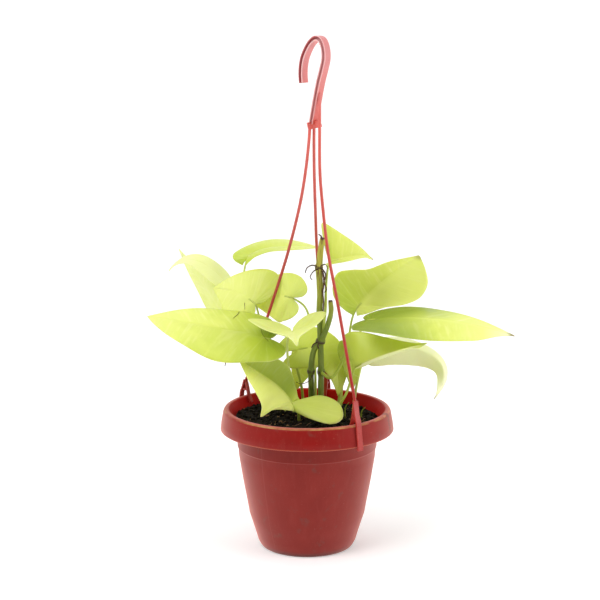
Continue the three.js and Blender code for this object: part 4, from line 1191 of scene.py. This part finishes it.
for name, start in STRANDS.items():
    azimuth, top = math.radians(CLIPS[name][0]), CLIPS[name][1]
    end = [CLIP_RADIUS * math.cos(azimuth), CLIP_RADIUS * math.sin(azimuth), top - 2]
    strand = smooth_path([*start, end], 60)
    hanger_shells.append(tapered(strand, STRAND_RADIUS, STRAND_RADIUS, STRAND_SIDES, 0, [0.2, 0.9, 0.1]))
    hanger_shells += clip_shells(azimuth, top)
groove_uvs += [(0, 0)] * (sum(len(verts) for verts, faces in hanger_shells) - len(groove_uvs))
hanger = piece("hanger_moulding", hanger_shells, hanger_plastic, "hanger", {"groove": groove_uvs})
rounding = hanger.modifiers.new("mould_edges", "BEVEL")
rounding.width = 0.45 * MM
rounding.segments = 2
rounding.limit_method = "ANGLE"
rounding.angle_limit = math.radians(40)
rounding.harden_normals = True
print("hanger triangles before rounding:", triangles(hanger))

# %% [markdown]
# ## Soil
# Peat-based potting soil: nearly black when moist, matt, crumbly, with tan bits of bark and fibre.
# A noisy surface alone looks like cloth, so loose crumbs and chips are laid over it as real lumps.

# %% Materials: potting soil and bark chips
def crumbly(name, dark, light, grain_mm):
    """Matt crumbs of two colours; the grain's size is in mm."""
    material, tree, shader, place = new_material(name)
    grains = node(tree, "TexNoise", {"Vector": place, "Scale": 1 / (grain_mm * MM), "Detail": 6,
                                     "Roughness": 0.7})
    tone = node(tree, "MapRange", {0: grains, 1: 0.42, 2: 0.75})
    fill(tree, shader, {
        "Base Color": node(tree, "Mix", {0: tone, 6: colour(dark), 7: colour(light)}, data_type="RGBA"),
        "Normal": node(tree, "Bump", {"Strength": 0.9, "Distance": 0.6 * MM, "Height": grains}),
        "Roughness": 0.9, "Specular IOR Level": 0.15,
    })
    return material


moist_soil = crumbly("moist potting soil", "#0D0A08", "#33281D", 2.5)
bark_bits = crumbly("bark and fibre bits", "#5C412B", "#A98861", 1.5)
print("materials:", moist_soil.name, "and", bark_bits.name)

# %% The soil's surface
SOIL_LEVEL = 130
SOIL_SIDE = [
    (41, 2.5), (49, 13.2), (55.5, 34), (58.3, 50), (62, 70), (66.8, 102), (66.8, 117.6), (71.7, 128),
]
SOIL_STEPS, SOIL_RINGS, SOIL_SMOOTH_EDGE = 150, 46, 4
SOIL_GRAINS = ((1.3, 5), (0.9, 2.2), (0.5, 1.1))  # height and width in mm
MOUND_HIGH, MOUND_WIDE, MOUND_X, MOUND_Y = 7, 30, 2, 22


def soil_height(x, y):
    """A low mound behind the stems, lower at the back right, with coarse lumps."""
    mound = MOUND_HIGH * math.exp(-((x - MOUND_X) ** 2 + (y - MOUND_Y) ** 2) / MOUND_WIDE ** 2)
    slope = -0.028 * x - 0.02 * y
    lumps = 0.7 * math.sin(0.41 * x + 0.23 * y) * math.cos(0.37 * y - 0.19 * x)
    return SOIL_LEVEL + mound + slope + lumps


def soil_shell():
    """The fill's side from the base up, then rings of surface points, roughened towards the middle."""
    rim = SOIL_SIDE[-1][0]
    rings = list(np.linspace(rim, 1.5, SOIL_RINGS))[1:]
    turns = np.linspace(0, 2 * math.pi, SOIL_STEPS, endpoint=False)
    verts = [(0, 0, 2.3)]
    for r, z in SOIL_SIDE:
        verts += [(r * math.cos(t), r * math.sin(t), z) for t in turns]
    for r in rings:
        for t in turns:
            x, y = r * math.cos(t), r * math.sin(t)
            spot = Vector((x, y, 0))
            rough = sum(high * noise.noise(spot / wide) for high, wide in SOIL_GRAINS)
            verts.append((x, y, soil_height(x, y) + rough * min(1, (rim - r) / SOIL_SMOOTH_EDGE)))
    verts.append((0, 0, soil_height(0, 0)))
    levels = len(SOIL_SIDE) + len(rings)
    faces = []
    for j in range(SOIL_STEPS):
        k = (j + 1) % SOIL_STEPS
        faces.append([0, 1 + k, 1 + j])
        for i in range(levels - 1):
            a, b = 1 + i * SOIL_STEPS, 1 + (i + 1) * SOIL_STEPS
            faces.append([a + j, a + k, b + k, b + j])
        top = 1 + (levels - 1) * SOIL_STEPS
        faces.append([top + j, top + k, len(verts) - 1])
    return verts, faces


soil = piece("soil_fill", [soil_shell()], moist_soil, "soil")
print("soil triangles:", triangles(soil))

# %% Crumbs, bark chips and straws
def lump_mesh(detail):
    """Vertices and faces of a unit ball of small triangles, to be squeezed into crumbs."""
    ball = bmesh.new()
    bmesh.ops.create_icosphere(ball, subdivisions=detail, radius=1)
    verts = np.array([v.co[:] for v in ball.verts])
    faces = [[v.index for v in f.verts] for f in ball.faces]
    ball.free()
    return verts, faces


dice = random.Random(7)
unit_verts, unit_faces = lump_mesh(2)
CRUMBS, CRUMB_REACH, CRUMB_ROUGH, CRUMB_RISE = 520, 69, 0.45, 0.35
CHIPS = 70
STRAWS, STRAW_START_REACH, STRAW_REACH, STRAW_RADIUS = 34, 66, 70, 0.35


def crumb(size, flat):
    """One crumb on the soil: a noisy, squeezed and turned ball."""
    r, t = CRUMB_REACH * math.sqrt(dice.random()), dice.uniform(0, 2 * math.pi)
    x, y = r * math.cos(t), r * math.sin(t)
    seed = dice.uniform(0, 900)
    rough = [1 + CRUMB_ROUGH * noise.noise(Vector(v) * 1.3 + Vector((seed, 0, 0))) for v in unit_verts]
    shape = unit_verts * np.array(rough)[:, None] * np.array([size, size * dice.uniform(0.6, 1), size * flat])
    turn, tilt = dice.uniform(0, 2 * math.pi), dice.uniform(-0.5, 0.5)
    spin = np.array([[math.cos(turn), -math.sin(turn), 0], [math.sin(turn), math.cos(turn), 0], [0, 0, 1]])
    tip = np.array([[1, 0, 0], [0, math.cos(tilt), -math.sin(tilt)], [0, math.sin(tilt), math.cos(tilt)]])
    shape = shape @ tip.T @ spin.T
    return list(shape + [x, y, soil_height(x, y) + CRUMB_RISE * size]), unit_faces


crumb_shells = [crumb(dice.uniform(0.8, 2.9), dice.uniform(0.5, 0.9)) for _ in range(CRUMBS)]
crumbs = piece("soil_crumbs", crumb_shells, moist_soil, "soil")
chips = [crumb(dice.uniform(0.8, 2.4), dice.uniform(0.25, 0.5)) for _ in range(CHIPS)]
for _ in range(STRAWS):
    r, t, way = STRAW_START_REACH * math.sqrt(dice.random()), dice.uniform(0, 6.28), dice.uniform(0, 6.28)
    x, y, long = r * math.cos(t), r * math.sin(t), dice.uniform(4, 11)
    line = [[x + k * long * math.cos(way), y + k * long * math.sin(way),
             soil_height(x, y) + 1.4 + 1.6 * math.sin(3 * k + t)] for k in (0, 0.35, 0.7, 1)]
    if max(math.hypot(p[0], p[1]) for p in line) < STRAW_REACH:
        chips.append(tapered(smooth_path(line, 8), STRAW_RADIUS, STRAW_RADIUS, 5, 0, [0.3, 0.2, 0.9]))
bits = piece("soil_bark_bits", chips, bark_bits, "soil")
print("crumb triangles:", triangles(crumbs), "and bark bits:", triangles(bits))

# %% [markdown]
# ## Camera, light and floor
# The photo is a shop picture on white: a tall view from a little above, about 1.5 m away. The light
# is soft and comes from everywhere, a little stronger from the upper left.

# %% Camera
SENSOR_WIDE = 36
PICTURE_WIDE, FOCAL_LENGTH = 600, 1556.8  # in pixels
LOOK_DOWN = 10.65

camera = bpy.data.objects.new("camera", bpy.data.cameras.new("camera"))
bpy.context.scene.collection.objects.link(camera)
camera.location = (-0.007, -1.5, 0.5305)
camera.rotation_euler = (math.radians(90 - LOOK_DOWN), 0, 0)
camera.data.sensor_width = SENSOR_WIDE
camera.data.lens = SENSOR_WIDE * FOCAL_LENGTH / PICTURE_WIDE
bpy.context.scene.camera = camera
print("lens mm:", round(camera.data.lens, 1))

# %% [markdown]
# Soft light is a matter of size: large panels a metre or more away leave only weak, broad shadows.
# The view transform is the plain one, so that the bright lime of the leaves isn't greyed.

# %% Light
def panel(name, place, aim, size, power):
    """A square softbox that faces a point."""
    light = bpy.data.lights.new(name, "AREA")
    light.size = size
    light.energy = power
    made = bpy.data.objects.new(name, light)
    bpy.context.scene.collection.objects.link(made)
    made.location = place
    made.rotation_euler = (Vector(aim) - Vector(place)).to_track_quat("-Z", "Y").to_euler()
    return made


plant_middle = (0, 0, 0.22)
panel("key_panel", (-1.1, -1.0, 1.7), plant_middle, 1.2, 22)
panel("fill_panel", (1.6, -0.6, 0.8), plant_middle, 1.2, 12)
panel("top_panel", (0.1, 0.1, 2.2), plant_middle, 1.4, 8)


def studio_surround():
    """A white surround that fades to grey behind the camera, where a studio is darker."""
    world = bpy.data.worlds.new("studio surround")
    world.use_nodes = True
    tree = world.node_tree
    direction = node(tree, "TexCoord").outputs["Generated"]
    depth = node(tree, "SeparateXYZ", {0: direction}).outputs["Y"]
    level = node(tree, "MapRange", {0: depth, 1: -0.95, 2: -0.3, 3: 0.08, 4: 0.62},
                 interpolation_type="SMOOTHSTEP")
    fill(tree, tree.nodes["Background"], {"Color": (1, 1, 1, 1), "Strength": level})
    return world


bpy.context.scene.world = studio_surround()
bpy.context.scene.view_settings.view_transform = "Standard"

# %% [markdown]
# The floor is a roll of white paper. Behind the plant it curves up in a wide arc, so no horizon
# shows. Paper that bright needs a lamp of its own in a real studio; here it glows a little instead.

# %% Floor
FLOOR_WIDE, FLOOR_NEAR, CURVE_START, CURVE_RADIUS, FLOOR_HIGH = 6.0, -3.0, 0.9, 0.8, 3.0  # m


def white_paper():
    """Matt white paper that gives off some light itself, with a faint grain."""
    material, tree, shader, place = new_material("white background paper")
    grain = node(tree, "TexNoise", {"Vector": place, "Scale": 1 / (3 * MM), "Detail": 2})
    tone = node(tree, "Mix", {0: grain, 6: colour("#F6F6F6"), 7: colour("#FAFAFA")}, data_type="RGBA")
    fill(tree, shader, {
        "Base Color": tone, "Emission Color": tone, "Emission Strength": 0.25, "Roughness": 0.9,
    })
    return material


def paper_sweep():
    """Points of the sweep's side view, floor first, then the quarter arc, then the wall."""
    arc = [(CURVE_START + CURVE_RADIUS * math.sin(t), CURVE_RADIUS * (1 - math.cos(t)))
           for t in np.linspace(0, math.pi / 2, 16)]
    side_view = [(FLOOR_NEAR, 0), *arc, (CURVE_START + CURVE_RADIUS, FLOOR_HIGH)]
    verts = [(x, y, z) for y, z in side_view for x in (-FLOOR_WIDE / 2, FLOOR_WIDE / 2)]
    faces = [[2 * i, 2 * i + 1, 2 * i + 3, 2 * i + 2] for i in range(len(side_view) - 1)]
    mesh = bpy.data.meshes.new("paper_sweep")
    mesh.from_pydata(verts, [], faces)
    mesh.polygons.foreach_set("use_smooth", [True] * len(mesh.polygons))
    mesh.materials.append(white_paper())
    made = bpy.data.objects.new("paper_sweep", mesh)
    bpy.context.scene.collection.objects.link(made)
    return made


floor = paper_sweep()
print("sweep faces:", len(floor.data.polygons))
